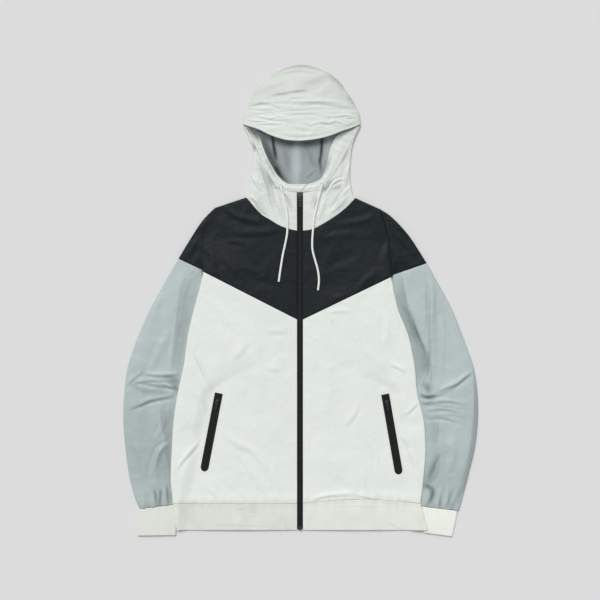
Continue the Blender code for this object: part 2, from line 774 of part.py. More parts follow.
def make_lining(materials, parts):
    """Lining of the hood's back, only where it shows through the mouth, with a margin under the casings."""
    left_side = [(54, 352), (76, 392), (92, 430), (98, 464)]
    right_side = [(-48, 352), (-68, 392), (-82, 430), (-92, 466)]
    grid = []
    for v in (0, 0.15, 0.3, 0.45, 0.6, 0.75, 0.9, 1):
        row = []
        for u in (0, 0.14, 0.28, 0.42, 0.58, 0.72, 0.86, 1):
            x, y = lerp(along(right_side, v), along(left_side, v), u)
            row.append((x, y + 18 * v * math.sin(math.pi * u), LINING_Z))
        grid.append(row)
    cloth("hood_lining", grid, materials["lining"], parts)


# ---- zips ----------------------------------------------------------------------------------------

def centre_z(y):
    return front_z("left", ZIP_EDGE, y)


def octagon(half_width, half_height):
    """Section of a row of teeth about its middle: eight corners, flats at the two half sizes."""
    angles = [math.radians(22.5 + part * 45) for part in range(8)]
    return [(half_width * OCTAGON * math.cos(t), half_height * OCTAGON * math.sin(t)) for t in angles]


def make_zip_tapes(materials, parts):
    stations = [ZIP_BOTTOM, HEM_SEAM, -180, -90, 0, 90, 180, COLLAR_START, 290, COLLAR_END, ZIP_TOP]
    for side in SIGN:
        grid = [
            [(SIGN[side] * a, y, centre_z(y) - TAPE_DROP) for a in (TAPE_INNER, 5.0, TAPE_OUTER)]
            for y in stations
        ]
        cloth(f"zip_tape_{side}", grid, materials["tape"], parts, wall=TAPE_WALL)
        stop = (SIGN[side] * 2.9, ZIP_TOP - 1.6, centre_z(ZIP_TOP) - TEETH_DROP + 0.9)
        block(f"zip_stop_{side}", (2.4, 2.4, 1.8), stop, materials["metal"], parts, bevel=0.3)
    grid = []
    for y in stations[:-1] + [SLIDER_Y - 1]:
        middle = centre_z(y) - TEETH_DROP + TEETH_HEIGHT / 2
        grid.append([(x, y, middle + z) for x, z in octagon(TEETH_HALF, TEETH_HEIGHT / 2)])
    solid_tube("zip_teeth", grid, materials["teeth"], parts)
    block(
        "zip_box", (7.6, 9.0, 3.4), (0, ZIP_BOTTOM - 0.3 - 4.5, centre_z(ZIP_BOTTOM) - 0.2),
        materials["metal"], parts, bevel=0.5,
    )


def solid_tube(name, rings, material, collection):
    """Closed solid through rings of points, with flat ends."""
    mesh = bpy.data.meshes.new(name)
    shape = bmesh.new()
    rows = [[shape.verts.new(Vector(p) * MM) for p in ring] for ring in rings]
    for lower, upper in zip(rows, rows[1:]):
        count = len(lower)
        for i in range(count):
            j = (i + 1) % count
            shape.faces.new((lower[i], lower[j], upper[j], upper[i]))
    shape.faces.new(rows[0])
    shape.faces.new(rows[-1])
    bmesh.ops.recalc_face_normals(shape, faces=shape.faces)
    shape.to_mesh(mesh)
    shape.free()
    return add_object(name, mesh, material, collection)


def bail_mesh(scale):
    """Flat arch over the slider's top plate, in the plane of its length, feet sunk into the plate."""
    outer, inner, half = 3.3 * scale, 2.1 * scale, 0.6 * scale
    rings = []
    for part in range(9):
        angle = math.pi * part / 8
        ring = []
        for radius_y, radius_z, x in (
            (outer + 0.4 * scale, outer, -half), (outer + 0.4 * scale, outer, half),
            (inner + 0.4 * scale, inner + 0.1 * scale, half),
            (inner + 0.4 * scale, inner + 0.1 * scale, -half),
        ):
            ring.append((x, radius_y * math.cos(angle), radius_z * math.sin(angle) - 0.3 * scale))
        rings.append(ring)
    return rings


def unite(item, cutter):
    join = item.modifiers.new("join", "BOOLEAN")
    join.operation = "UNION"
    join.object = cutter
    cutter.hide_render = True
    cutter.display_type = "WIRE"


def make_slider(name, pull_name, place, teeth_top, turn, scale, bottom_plate, materials, parts, cutters):
    """Slider with a bail, and the pull tab that swings on it."""
    x, y = place
    spin = Matrix.Rotation(turn, 3, "Z")

    def placed(dx, dy, z):
        offset = spin @ Vector((dx, dy, 0))
        return x + offset.x, y + offset.y, z

    plate_low = teeth_top + 0.3
    plate_high = plate_low + 1.3 * scale
    body = block(
        name, (9.6 * scale, 14 * scale, 1.3 * scale), placed(0, 0, (plate_low + plate_high) / 2),
        materials["metal"], parts, bevel=0.4 * scale, turn=turn,
    )
    bail = solid_tube(f"{name}_bail", bail_mesh(scale), materials["metal"], cutters)
    bail.location = Vector(placed(0, 0, plate_high)) * MM
    bail.rotation_euler = (0, 0, turn)
    unite(body, bail)
    if bottom_plate:
        low_top = plate_low - 0.3 - TEETH_HEIGHT - 0.3 - TAPE_WALL - 0.3
        post = block(
            f"{name}_post", (1.8, 4, plate_low - low_top + 1.2), placed(0, 4.6, (plate_low + low_top) / 2),
            materials["metal"], cutters, turn=turn,
        )
        base = block(
            f"{name}_base", (9.0, 13.4, 1.0), placed(0, 0, low_top - 0.5),
            materials["metal"], cutters, turn=turn,
        )
        unite(body, post)
        unite(body, base)
    thick = 1.2 * scale
    axis_z = plate_high + 1.05 * scale
    bar = thick / 2
    half, slot, slot_end, tail = 2.8 * scale, 0.95 * scale, 4.6 * scale, 19 * scale
    outline = bpy.data.curves.new(pull_name, "CURVE")
    outline.dimensions = "2D"
    outline.fill_mode = "BOTH"
    outline.extrude = thick / 2 * MM
    round_y = half - tail
    turns = [t * math.pi / 6 for t in range(1, 6)]
    rounded = [(half, bar), (-half, bar), (-half, round_y)]
    rounded += [(-half * math.cos(t), round_y - half * math.sin(t)) for t in turns]
    rounded += [(half, round_y)]
    hole = [(slot, -bar), (-slot, -bar), (-slot, -slot_end), (slot, -slot_end)]
    for points in (rounded, hole):
        spline = outline.splines.new("POLY")
        spline.points.add(len(points) - 1)
        for point, (px, py) in zip(spline.points, points):
            point.co = (px * MM, py * MM, 0, 1)
        spline.use_cyclic_u = True
    tab = add_object(pull_name, outline, materials["metal"], parts)
    tab.location = Vector(placed(0, 0, axis_z)) * MM
    tab.rotation_euler = (0, 0, turn)


def pocket_frame(side):
    """Middle line of a pocket zip: top point, unit vector down along it, unit vector outward, length."""
    top, bottom = POCKET[side]
    length = math.dist(top, bottom)
    down = ((bottom[0] - top[0]) / length, (bottom[1] - top[1]) / length)
    out = (-down[1], down[0])
    return top, down, out, length


def make_pocket(side, materials, parts, cutters):
    """Pocket zip: a tape laid on the front panel, square at the top and round at the bottom."""
    top, down, out, length = pocket_frame(side)
    rise = WALL / 2 + SEAM + TAPE_WALL / 2 + POCKET_RISE
    distances = [length * i / 8 for i in range(8)]
    distances += [length - POCKET_ROUND * (1 - math.sin(t * math.pi / 2)) for t in (0.35, 0.65, 0.88)]
    grid = []
    for d in distances:
        past = clamp((d - (length - POCKET_ROUND)) / POCKET_ROUND)
        half = POCKET_HALF * math.sqrt(max(0.0, 1 - past ** 2))
        row = []
        for share in (-1.0, -0.4, 0.4, 1.0):
            a = top[0] + down[0] * d + out[0] * half * share
            y = top[1] + down[1] * d + out[1] * half * share
            row.append((SIGN[side] * a, y, front_z(side, a, y) + rise))
        grid.append(row)
    cloth(f"pocket_tape_{side}", grid, materials["tape"], parts, wall=TAPE_WALL)
    rings = []
    teeth_half, teeth_height = TEETH_HALF * POCKET_SCALE, TEETH_HEIGHT * POCKET_SCALE
    for d in distances[:8]:
        d = max(d, POCKET_SLIDER_DOWN - 4)
        a, y = top[0] + down[0] * d, top[1] + down[1] * d
        low = front_z(side, a, y) + rise + TAPE_WALL / 2 + SEAM
        middle = low + teeth_height / 2
        ring = []
        for sideways, z in octagon(teeth_half, teeth_height / 2):
            ring.append((SIGN[side] * (a + out[0] * sideways), y + out[1] * sideways, middle + z))
        rings.append(ring)
    solid_tube(f"pocket_teeth_{side}", rings, materials["teeth"], parts)

    def line_point(d):
        return top[0] + down[0] * d, top[1] + down[1] * d

    a, y = line_point(POCKET_SLIDER_DOWN)
    highest = max(front_z(side, *line_point(POCKET_SLIDER_DOWN + e)) for e in (-6, 0, 6, 16))
    teeth_top = highest + rise + TAPE_WALL / 2 + SEAM + teeth_height
    turn = math.atan2(SIGN[side] * down[0], -down[1])
    make_slider(
        f"pocket_slider_{side}", f"pocket_pull_{side}", (SIGN[side] * a, y), teeth_top, turn, POCKET_SCALE,
        False, materials, parts, cutters,
    )


# ---- eyelets and drawstrings ---------------------------------------------------------------------

def make_eyelet(side, materials, parts):
    a, y = EYELET[side]
    low = casing_z(0.5) + CASING_WALL / 2 + SEAM
    mesh = bpy.data.meshes.new(f"eyelet_{side}")
    shape = bmesh.new()
    profile = [
        (EYELET_HOLE, 0), (EYELET_OUTER, 0), (EYELET_OUTER, EYELET_HEIGHT * 0.5),
        (EYELET_OUTER - 0.5, EYELET_HEIGHT), (EYELET_HOLE, EYELET_HEIGHT),
    ]
    corners = [shape.verts.new(Vector((r, 0, z)) * MM) for r, z in profile]
    for i, corner in enumerate(corners):
        shape.edges.new((corner, corners[(i + 1) % len(corners)]))
    bmesh.ops.spin(
        shape, geom=shape.verts[:] + shape.edges[:], cent=(0, 0, 0), axis=(0, 0, 1),
        angle=math.tau, steps=20,
    )
    bmesh.ops.remove_doubles(shape, verts=shape.verts, dist=0.00001)
    bmesh.ops.recalc_face_normals(shape, faces=shape.faces)
    shape.to_mesh(mesh)
    shape.free()
    item = add_object(f"eyelet_{side}", mesh, materials["eyelet"], parts)
    item.location = Vector((SIGN[side] * a, y, low)) * MM


def cloth_top(x, y):
    """Top of the cloth that a drawstring lies on."""
    side = "right" if x < 0 else "left"
    a = abs(x)
    neck = next(
        (p[1] + (q[1] - p[1]) * (a - p[0]) / (q[0] - p[0])
         for p, q in zip(NECKLINE[side], NECKLINE[side][1:]) if p[0] <= a <= q[0]),
        NECKLINE[side][0][1],
    )
    yoke = front_z(side, a, min(y, neck)) + WALL / 2
    if y <= neck:
        return yoke
    collar = 6.0 + WALL / 2
    casing = casing_z(0.5) + CASING_WALL / 2 + SEAM + EYELET_HEIGHT
    share = clamp((y - neck) / 30)
    over = clamp((y - 344) / 10)
    return max(yoke, yoke + (collar - yoke) * share) * (1 - over) + casing * over


def make_drawstring(side, materials, parts):
    route = [(x, y, cloth_top(x, y) + above + CORD_RADIUS) for x, y, above in DRAWSTRING[side]]
    curve = bpy.data.curves.new(f"drawstring_{side}", "CURVE")
    curve.dimensions = "3D"
    curve.bevel_depth = CORD_RADIUS * MM
    curve.bevel_resolution = 2
    curve.resolution_u = 1
    curve.use_fill_caps = True
    spline = curve.splines.new("POLY")
    points = smooth_curve(route, CORD_POINTS)
    spline.points.add(len(points) - 1)
    for point, place in zip(spline.points, points):
        point.co = (*(Vector(place) * MM), 1)
    add_object(f"drawstring_{side}", curve, materials["cord"], parts)


def main():
    clear_scene()
    parts = new_collection("windbreaker_jacket")
    cutters = new_collection("cutters")
    materials = {
        "white": new_material("white nylon", (0.80, 0.83, 0.79), 0.55),
        "black": new_material("black nylon", (0.017, 0.022, 0.027), 0.55),
        "grey": new_material("grey nylon", (0.44, 0.50, 0.51), 0.5),
        "rib": new_material("elastic knit", (0.70, 0.72, 0.66), 0.75),
        "lining": new_material("grey mesh lining", (0.27, 0.31, 0.33), 0.8),
        "tape": new_material("black zip tape", (0.012, 0.014, 0.014), 0.65),
        "teeth": new_material("black zip teeth", (0.02, 0.022, 0.022), 0.4),
        "metal": new_material("black painted metal", (0.02, 0.022, 0.024), 0.35, 0.4),
        "eyelet": new_material("white painted metal", (0.70, 0.72, 0.68), 0.4, 0.2),
        "cord": new_material("white cord", (0.78, 0.80, 0.76), 0.8),
    }
    make_torso(materials, parts)
    make_back_yoke(materials, parts)
    for side in SIGN:
        make_front_yoke(side, materials, parts)
        make_cap(side, materials, parts)
        make_sleeve(side, materials, parts)
        make_hood_side(side, materials, parts)
        make_casing(side, materials, parts)
        make_pocket(side, materials, parts, cutters)
        make_eyelet(side, materials, parts)
        make_drawstring(side, materials, parts)
    make_hood_front(materials, parts)
    make_hood_back(materials, parts)
    make_lining(materials, parts)
    make_zip_tapes(materials, parts)
    teeth_top = centre_z(SLIDER_Y) - TEETH_DROP + TEETH_HEIGHT
    make_slider(
        "zip_slider", "zip_pull", (0, SLIDER_Y), teeth_top, 0.0, 1.0, True, materials, parts, cutters,
    )


main()
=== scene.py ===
import json
import math

import bmesh
import bpy
import numpy as np
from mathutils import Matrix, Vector
from mathutils.bvhtree import BVHTree


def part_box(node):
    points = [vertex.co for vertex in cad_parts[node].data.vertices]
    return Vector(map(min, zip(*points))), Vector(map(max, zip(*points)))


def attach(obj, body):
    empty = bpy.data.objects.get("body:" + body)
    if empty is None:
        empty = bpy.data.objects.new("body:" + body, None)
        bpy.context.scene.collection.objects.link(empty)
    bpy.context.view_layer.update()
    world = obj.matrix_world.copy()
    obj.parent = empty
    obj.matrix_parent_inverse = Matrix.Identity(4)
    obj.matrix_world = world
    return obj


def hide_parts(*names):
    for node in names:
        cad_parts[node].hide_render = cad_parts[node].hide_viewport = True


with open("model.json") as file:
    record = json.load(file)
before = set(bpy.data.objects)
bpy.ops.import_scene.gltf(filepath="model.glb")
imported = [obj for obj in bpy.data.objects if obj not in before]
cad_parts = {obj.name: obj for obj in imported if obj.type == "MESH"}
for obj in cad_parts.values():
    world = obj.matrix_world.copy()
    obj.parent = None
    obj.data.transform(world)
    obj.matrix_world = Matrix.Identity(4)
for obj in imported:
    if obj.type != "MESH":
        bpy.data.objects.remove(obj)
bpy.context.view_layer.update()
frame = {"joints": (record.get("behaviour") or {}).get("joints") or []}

scene = bpy.context.scene
mm = 0.001
sides = {"right": -1, "left": 1}      # the wearer's right is at -X

# the cut of the jacket, in millimetres: a is the distance out from the front zip, y runs up the jacket
zipEdge = 5.8
fold = 3.0                   # how far in from an edge a fold starts to turn
backMid = 0.6
sleeveHigh = 5.0
hoodSeamZ = 2.7

# y at the zip, y at the side, distance out to the side fold
torso = {
    "right": [
        (91, 186, 192), (84, 174, 195.5), (72, 150, 201), (54, 110, 212), (22, 60, 223.5),
        (-14, 0, 232), (-60, -56, 244), (-110, -110, 252), (-170, -170, 256), (-226, -226, 258),
        (-276, -276, 254),
    ],
    "left": [
        (91, 176, 182), (84, 164, 184.5), (72, 140, 189.5), (54, 108, 197), (22, 60, 216),
        (-14, 0, 229), (-60, -56, 234), (-110, -110, 247), (-170, -170, 250.5), (-226, -226, 246.5),
        (-276, -276, 241),
    ],
}
hem = {
    "seam": -276.0, "bottom": -330.0, "side": {"right": 246.0, "left": 255.0}, "arch": {"right": 0.0, "left": 8.0},
}
shoulderTip = {"right": (170, 314), "left": (160, 311.5)}
shoulderNeck = {"right": (108, 335), "left": (111, 334)}
armholeBow = {"right": 13.0, "left": 7.0}
neckline = {
    "right": [(zipEdge, 268), (20, 271), (40, 278), (60, 290), (76, 300), (88, 312), (100, 326), (108, 335)],
    "left": [(zipEdge, 268), (20, 270), (32, 274), (60, 290), (80, 304), (92, 314), (104, 326), (111, 334)],
}

# outer fold and inner fold of the sleeve at each section
capRows = {
    "right": [((196, 287), (193.6, 188.5)), ((222, 247), (194.6, 190)), ((242.6, 213), (195.6, 191.5))],
    "left": [((184, 295), (183.6, 178.5)), ((218, 258), (184.6, 180)), ((253, 204), (185.6, 181.5))],
}
sleeveRows = {
    "right": [
        ((243, 212.4), (196, 190.0)), ((254, 194), (194.8, 176.5)), ((264, 176), (186, 165)),
        ((284, 140), (157, 143)), ((303, 104), (138, 104)), ((327, 48), (150, 50)),
        ((344, -4), (176, -2)), ((351, -56), (200, -54)), ((353, -110), (212, -108)),
        ((348.5, -168), (222, -166)), ((341, -222), (232, -218)), ((330, -264), (240, -258)),
        ((320, -287), (243, -277)),
    ],
    "left": [
        ((253.4, 203.4), (186, 180.0)), ((263, 187), (183.6, 167.5)), ((272, 170), (176, 154)),
        ((291, 136), (150, 133)), ((308, 101), (134, 98)), ((331, 42), (150, 46)),
        ((347, -6), (178, -4)), ((354.5, -58), (206, -56)), ((355, -112), (215, -110)),
        ((349.5, -162), (225, -160)), ((339, -208), (231, -206)), ((328, -252), (235, -248)),
        ((317, -291), (240, -281)),
    ],
}
cuffRows = {
    "right": [((323, -287.6), (244, -277.6)), ((325.5, -314), (246, -308)), ((325, -341), (248, -340))],
    "left": [((314.5, -291.2), (240.5, -281.6)), ((310, -316), (244, -309)), ((304, -342.5), (248, -335))],
}
# middle line of each slanted pocket zip, top and bottom
pocket = {
    "line": {"right": ((162, -56), (192, -212)), "left": ((170, -58), (198, -218))}, "half": 8.0, "round": 9.0,
    "scale": 0.75, "firstTooth": 15.0,      # its size beside the front zip's; the teeth start clear of the slider
}
hoodSideEdge = {
    "right": [(108, 335), (104, 343), (97, 372), (94.5, 410), (97, 444), (108, 468), (114, 479)],
    "left": [(111, 334), (105, 343), (100, 370), (100, 400), (104, 436), (112, 462), (121, 479)],
}
crownEdge = {
    "right": [(114, 481), (111, 496), (100, 524), (90, 549)],
    "left": [(121, 481), (118, 504), (104, 530), (91, 549)],
}
crownTop = [(-90, 549), (-76, 562), (-50, 583), (-20, 596), (0, 600), (20, 598), (56, 584), (78, 566), (91, 549)]
visorSeam = [(-111.4, 495), (-80, 500), (0, 506), (80, 506), (118.4, 503)]
visorEdge = [
    (-113.5, 480.5), (-84, 470), (-60, 458), (-30, 448), (0, 446), (30, 449), (56, 455), (90, 468), (120.5, 480.5),
]
casingRows = {
    "right": [
        ((109, 476), (101, 475)), ((98, 456), (82, 458)), ((88, 434), (75, 439)), ((78, 412), (66.5, 417)),
        ((67, 390), (55.5, 396)), ((55, 368), (43, 377)), ((42, 353), (26, 363)), ((22, 347), (10, 361.5)),
        ((0.3, 345.4), (-15, 361.5)),
    ],
    "left": [
        ((117, 476), (108, 474)), ((106, 452), (77, 461)), ((94, 430), (66, 446)), ((84, 410), (59, 428)),
        ((72, 390), (55, 408)), ((60, 372), (50, 388)), ((46, 354), (42, 373)), ((24, 347), (30, 366)),
        ((0.3, 345.4), (16, 361.5)),
    ],
}


def smoothLine(points, steps=10):
    # Catmull-Rom through the points
    p = np.array(points, float)
    ends = np.vstack([2 * p[0] - p[1], p, 2 * p[-1] - p[-2]])
    t = np.arange(steps)[:, None] / steps
    parts = []
    for i in range(1, len(ends) - 2):
        a, b, c, d = ends[i - 1:i + 3]
        parts.append(0.5 * (
            2 * b + (c - a) * t + (2 * a - 5 * b + 4 * c - d) * t ** 2 + (3 * b - a - 3 * c + d) * t ** 3))
    return np.vstack(parts + [p[-1:]])


def travelled(line):
    steps = np.linalg.norm(np.diff(line, axis=0), axis=1)
    return np.concatenate([[0.0], np.cumsum(steps)])


def valuesAt(where, marks, values):
    # the columns of values stand at the marks, and are read between them
    return np.stack([np.interp(where, marks, values[:, k]) for k in range(values.shape[1])], axis=-1)


def lineAt(line, t):
    # points at shares t of a line's length
    line = np.asarray(line, float)
    way = travelled(line)
    return valuesAt(np.asarray(t, float) * way[-1], way, line)


def ease(t):
    t = np.clip(t, 0, 1)
    return t * t * (3 - 2 * t)


def spread(width, step, startSteps=(0.0,), endSteps=(0.0,)):
    # distances across rows of these widths, close together at the ends
    width = np.atleast_1d(np.asarray(width, float))[:, None]
    low = np.array(startSteps)[None, :] + 0 * width
    high = width - np.array(endSteps)[None, ::-1]
    count = max(3, int(round(float(width.max()) / step)))
    inner = low[:, -1:] + (high[:, :1] - low[:, -1:]) * np.linspace(0, 1, count)[None, :]
    return np.concatenate([low[:, :-1], inner, high[:, 1:]], axis=1)


# distances of the first points from an edge of each kind
foldSteps = (0.0, 0.12, 0.5, 1.1, 1.9, 3.0)
seamSteps = (0.0, 0.25, 0.7, 1.4, 2.4)
zipSteps = (0.0, 0.2, 0.6, 1.2, 2.2)
rimSteps = (0.0, 0.3, 0.8, 1.6)


def foldTurn(distance, radius=fold):
    # 0 on a fold and 1 where the cloth lies flat, round between
    t = np.clip(distance / radius, 0, 1)
    return np.sqrt(np.clip(1 - (1 - t) ** 2, 0, 1))


def seamDip(distance, depth=0.5, radius=1.4):
    return -depth * (1 - foldTurn(distance, radius))


def cloud(x, y, size, seed):
    # smooth seeded noise from -1 to 1 with bumps of this size in millimetres
    table = np.random.default_rng(seed).uniform(-1, 1, (64, 64))
    gx, gy = np.asarray(x) / size + 1000, np.asarray(y) / size + 1000
    ix, iy = np.floor(gx).astype(int), np.floor(gy).astype(int)
    fx, fy = ease(gx - ix), ease(gy - iy)
    a, b = table[ix % 64, iy % 64], table[(ix + 1) % 64, iy % 64]
    c, d = table[ix % 64, (iy + 1) % 64], table[(ix + 1) % 64, (iy + 1) % 64]
    return (a + (b - a) * fx) * (1 - fy) + (c + (d - c) * fx) * fy


def crinkle(x, y, size, seed):
    # thin ridges as in creased nylon, from 0 to 1
    bend = cloud(x, y, size * 1.7, seed + 7) * size * 0.5
    n = cloud(x + bend, y - bend, size, seed)
    return (1 - np.abs(n)) ** 4


def alongRoute(x, y, route):
    # distance from a route, positive on its right-hand side, and the share of the way along it
    route = smoothLine(route, 6) if len(route) > 2 else np.array(route, float)
    way = travelled(route)
    best = np.full(np.shape(x), 1e9)
    sideways = np.zeros(np.shape(x))
    share = np.zeros(np.shape(x))
    for k in range(len(route) - 1):
        p, q = route[k], route[k + 1]
        d = q - p
        length = max(np.hypot(*d), 1e-6)
        t = np.clip(((x - p[0]) * d[0] + (y - p[1]) * d[1]) / length ** 2, 0, 1)
        ex, ey = x - p[0] - d[0] * t, y - p[1] - d[1] * t
        far = np.hypot(ex, ey)
        near = far < best
        best = np.where(near, far, best)
        sideways = np.where(near, (ex * d[1] - ey * d[0]) / length, sideways)
        share = np.where(near, (way[k] + t * length) / way[-1], share)
    return best * np.where(sideways >= 0, 1.0, -1.0), share


def creaseField(x, y, creases, seed=0, gain=1.0, narrow=1.0):
    # each crease: route of (x, y), width, height of its ridge, depth of the trough on its right-hand side
    field = np.zeros(np.shape(x))
    for number, (route, width, height, trough) in enumerate(creases):
        across, share = alongRoute(x, y, route)
        width = width * narrow
        wobble = 1 + 0.25 * cloud(x, y, 22, seed + number)
        taper = np.clip(np.sin(np.pi * np.clip(share, 0.02, 0.98)), 0, 1) ** 0.7
        ridge = np.exp(-(across / (width * wobble)) ** 2)
        dip = np.exp(-((across - 1.05 * width) / (0.75 * width)) ** 2)
        field += gain * (height * ridge - trough * dip) * taper
    return field


def paintedShadeField(x, y, strokes, seed=0, gain=1.0):
    # strokes of painted shade, or painted light where how much darker is below 0; each stroke: route of (x, y), width,
    # how much darker, and 1 for a sharp edge with the dark on its right-hand side
    field = np.zeros(np.shape(x))
    for number, (route, width, dark, sharp) in enumerate(strokes):
        across, share = alongRoute(x, y, route)
        wobble = 1 + 0.25 * cloud(x, y, 22, seed + number)
        ends = np.clip(np.sin(np.pi * np.clip(share, 0.01, 0.99)), 0, 1) ** (0.35 if sharp else 0.7)
        body = np.exp(-(across / (width * wobble)) ** 2)
        if sharp:
            body = body * ease((across + 1.2 * wobble) / 2.4)
        field += gain * dark * body * ends
    return field


def blendEdges(b, t, s, e, u, v, corners):
    # Coons patch: bottom, top, start and end edges, and the four corners
    lowStart, lowEnd, topStart, topEnd = corners
    flat = (lowStart * (1 - u) + lowEnd * u) * (1 - v) + (topStart * (1 - u) + topEnd * u) * v
    return b * (1 - v) + t * v + s * (1 - u) + e * u - flat


def patch(bottom, top, start, end, us, vs):
    # the same between four lines; us may differ from row to row
    vs = np.asarray(vs, float)[:, None]
    us = np.atleast_2d(us) + 0 * vs
    b, t = lineAt(bottom, us), lineAt(top, us)
    s, e = lineAt(start, vs), lineAt(end, vs)
    u, v = us[..., None], (vs + 0 * us)[..., None]
    return blendEdges(b, t, s, e, u, v, [lineAt(line, place) for line in (bottom, top) for place in (0, 1)])


def sleeveInner(side, y):
    # this and the next five give the layers' edges and heights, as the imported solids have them
    rows = sorted(row[1][::-1] for row in sleeveRows[side][1:] + cuffRows[side][1:])
    return np.interp(y, *zip(*rows))


def torsoEdge(side, y):
    return np.interp(y, *zip(*sorted(row[1:] for row in torso[side])))


def rampFoot(side, y):
    y = np.minimum(y, torso[side][0][1])
    top = np.minimum(sleeveInner(side, y) + 1, torsoEdge(side, y) - 4)
    return top - 25, top


def lift(side, a, y, early=0.0):
    # a sleeve below carries the cloth up; early is how much sooner the slope starts
    foot, top = rampFoot(side, y)
    return 5.4 * ease((a - foot + early) / (top - foot + early))


def backHeight(side, a, y):
    armpit, lifted = torso[side][0][1], torso[side][1][1]
    return lift(side, a, y) * np.clip((armpit - y) / (armpit - lifted), 0, 1)


def frontHeight(side, a, y):
    foot = rampFoot(side, y)[0]
    fade = 1 - np.clip((y - torso[side][0][1]) / 70, 0, 1)
    loft = 1.9 * np.sin(np.pi * np.clip((a - zipEdge) / (foot - zipEdge), 0, 1))
    rise = 2.0 * ease((y - 262) / 56) * np.clip((60 - a) / 40, 0, 1)
    return backMid + 3.6 + loft + lift(side, a, y, 115 * ease((y + 62) / 105)) * fade + rise


def armhole(side, w, outset=0.0):
    w = np.asarray(w, float)
    tip, pit = np.array(shoulderTip[side], float), np.array([torso[side][0][2], torso[side][0][1]], float)
    way = pit - tip
    normal = np.array([-way[1], way[0]]) / np.hypot(*way)
    out = armholeBow[side] * np.sin(np.pi * w) + outset
    return tip + way * w[..., None] + normal * out[..., None]


def clearSelection():
    if bpy.context.object and bpy.context.object.mode == "EDIT":
        bpy.ops.object.mode_set(mode="OBJECT")
    bpy.ops.object.select_all(action="DESELECT")


def selectOnly(*items):
    clearSelection()
    for item in items:
        item.select_set(True)
    bpy.context.view_layer.objects.active = items[0]


def meshObject(name, vertices, faces, uv):
    mesh = bpy.data.meshes.new(name)
    mesh.from_pydata(vertices.tolist(), [], faces)
    layer = mesh.uv_layers.new(name="cloth")
    loops = np.empty(len(mesh.loops), int)
    mesh.loops.foreach_get("vertex_index", loops)
    layer.data.foreach_set("uv", uv[loops].astype(np.float32).ravel())
    mesh.update()
    item = bpy.data.objects.new(name, mesh)
    scene.collection.objects.link(item)
    return item


def gridObject(name, points, closed=False, flip=False, uv=None):
    # rows of points in millimetres, made a mesh with a cloth-scale UV in metres
    rows, cols = points.shape[:2]
    index = np.arange(rows * cols).reshape(rows, cols)
    right = np.roll(index, -1, axis=1)
    if not closed:
        index, right = index[:, :-1], right[:, :-1]
    quads = np.stack([index[:-1], right[:-1], right[1:], index[1:]], axis=-1).reshape(-1, 4)
    if flip:
        quads = quads[:, ::-1]
    if uv is None:
        across, down = travelled(points[rows // 2]), travelled(points[:, cols // 2])
        uv = np.stack(np.broadcast_arrays(across[None, :], down[:, None]), axis=-1) * mm
    item = meshObject(name, points.reshape(-1, 3) * mm, quads.tolist(), uv.reshape(-1, 2))
    item.data.shade_smooth()
    return item


def dress(item, material, nodes, body="jacket"):
    item.data.materials.clear()
    item.data.materials.append(material)
    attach(item, body)
    if nodes:
        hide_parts(*nodes)
    return item


def cloth(name, points, thickness, material, nodes, closed=False, flip=False, tone=None):
    # the grid is the outer face; the wall goes inwards from it. tone is painted shade: it darkens the cloth where it
    # is above 0, and paints light where below
    item = gridObject(name, points, closed, flip)
    if tone is not None:
        shade = item.data.attributes.new("tone", "FLOAT", "POINT")
        shade.data.foreach_set("value", np.clip(tone, -0.6, 0.9).astype(np.float32).ravel())
    wall = item.modifiers.new("wall", "SOLIDIFY")
    wall.thickness = thickness * mm
    wall.offset = -1
    selectOnly(item)
    bpy.ops.object.modifier_apply(modifier="wall")
    return dress(item, material, nodes)


def surfaceOf(item):
    # gives the height of the cloth at x and y in millimetres, or None off it
    shape = bmesh.new()
    shape.from_mesh(item.data)
    tree = BVHTree.FromBMesh(shape)
    shape.free()

    def height(x, y):
        hit = tree.ray_cast(Vector((x * mm, y * mm, 0.1)), Vector((0, 0, -1)))[0]
        return None if hit is None else hit.z / mm

    return height


def newLook(name, colour, roughness):
    look = bpy.data.materials.new(name)
    look.use_nodes = True
    shader = look.node_tree.nodes["Principled BSDF"]
    shader.inputs["Base Color"].default_value = (*colour, 1)
    shader.inputs["Roughness"].default_value = roughness
    look.diffuse_color = (*colour, 1)
    return look, look.node_tree, shader


def noise(tree, coords, scale, detail=3.0, distortion=0.0):
    node = tree.nodes.new("ShaderNodeTexNoise")
    node.inputs["Scale"].default_value = scale
    node.inputs["Detail"].default_value = detail
    node.inputs["Distortion"].default_value = distortion
    tree.links.new(coords, node.inputs["Vector"])
    return node.outputs["Fac"]


def wave(tree, coords, pitch, direction="X", distortion=0.0):
    node = tree.nodes.new("ShaderNodeTexWave")
    node.bands_direction = direction
    node.inputs["Scale"].default_value = 0.314159 / pitch     # one band for each pitch, in metres
    node.inputs["Distortion"].default_value = distortion
    tree.links.new(coords, node.inputs["Vector"])
    return node.outputs["Fac"]


def remap(tree, value, low, high, fromLow=0.0, fromHigh=1.0):
    node = tree.nodes.new("ShaderNodeMapRange")
    node.inputs["From Min"].default_value = fromLow
    node.inputs["From Max"].default_value = fromHigh
    node.inputs["To Min"].default_value = low
    node.inputs["To Max"].default_value = high
    tree.links.new(value, node.inputs["Value"])
    return node.outputs["Result"]


def combine(tree, operation, first, second):
    node = tree.nodes.new("ShaderNodeMath")
    node.operation = operation
    for socket, value in zip(node.inputs, (first, second)):
        if isinstance(value, (int, float)):
            socket.default_value = value
        else:
            tree.links.new(value, socket)
    return node.outputs["Value"]


def scaled(colour, share):
    return tuple(min(1.0, c * share) for c in colour)


def blendColour(tree, factor, first, second):
    node = tree.nodes.new("ShaderNodeMix")
    node.data_type = "RGBA"
    tree.links.new(factor, node.inputs["Factor"])
    node.inputs[6].default_value = (*first, 1)
    node.inputs[7].default_value = (*second, 1)
    return node.outputs[2]


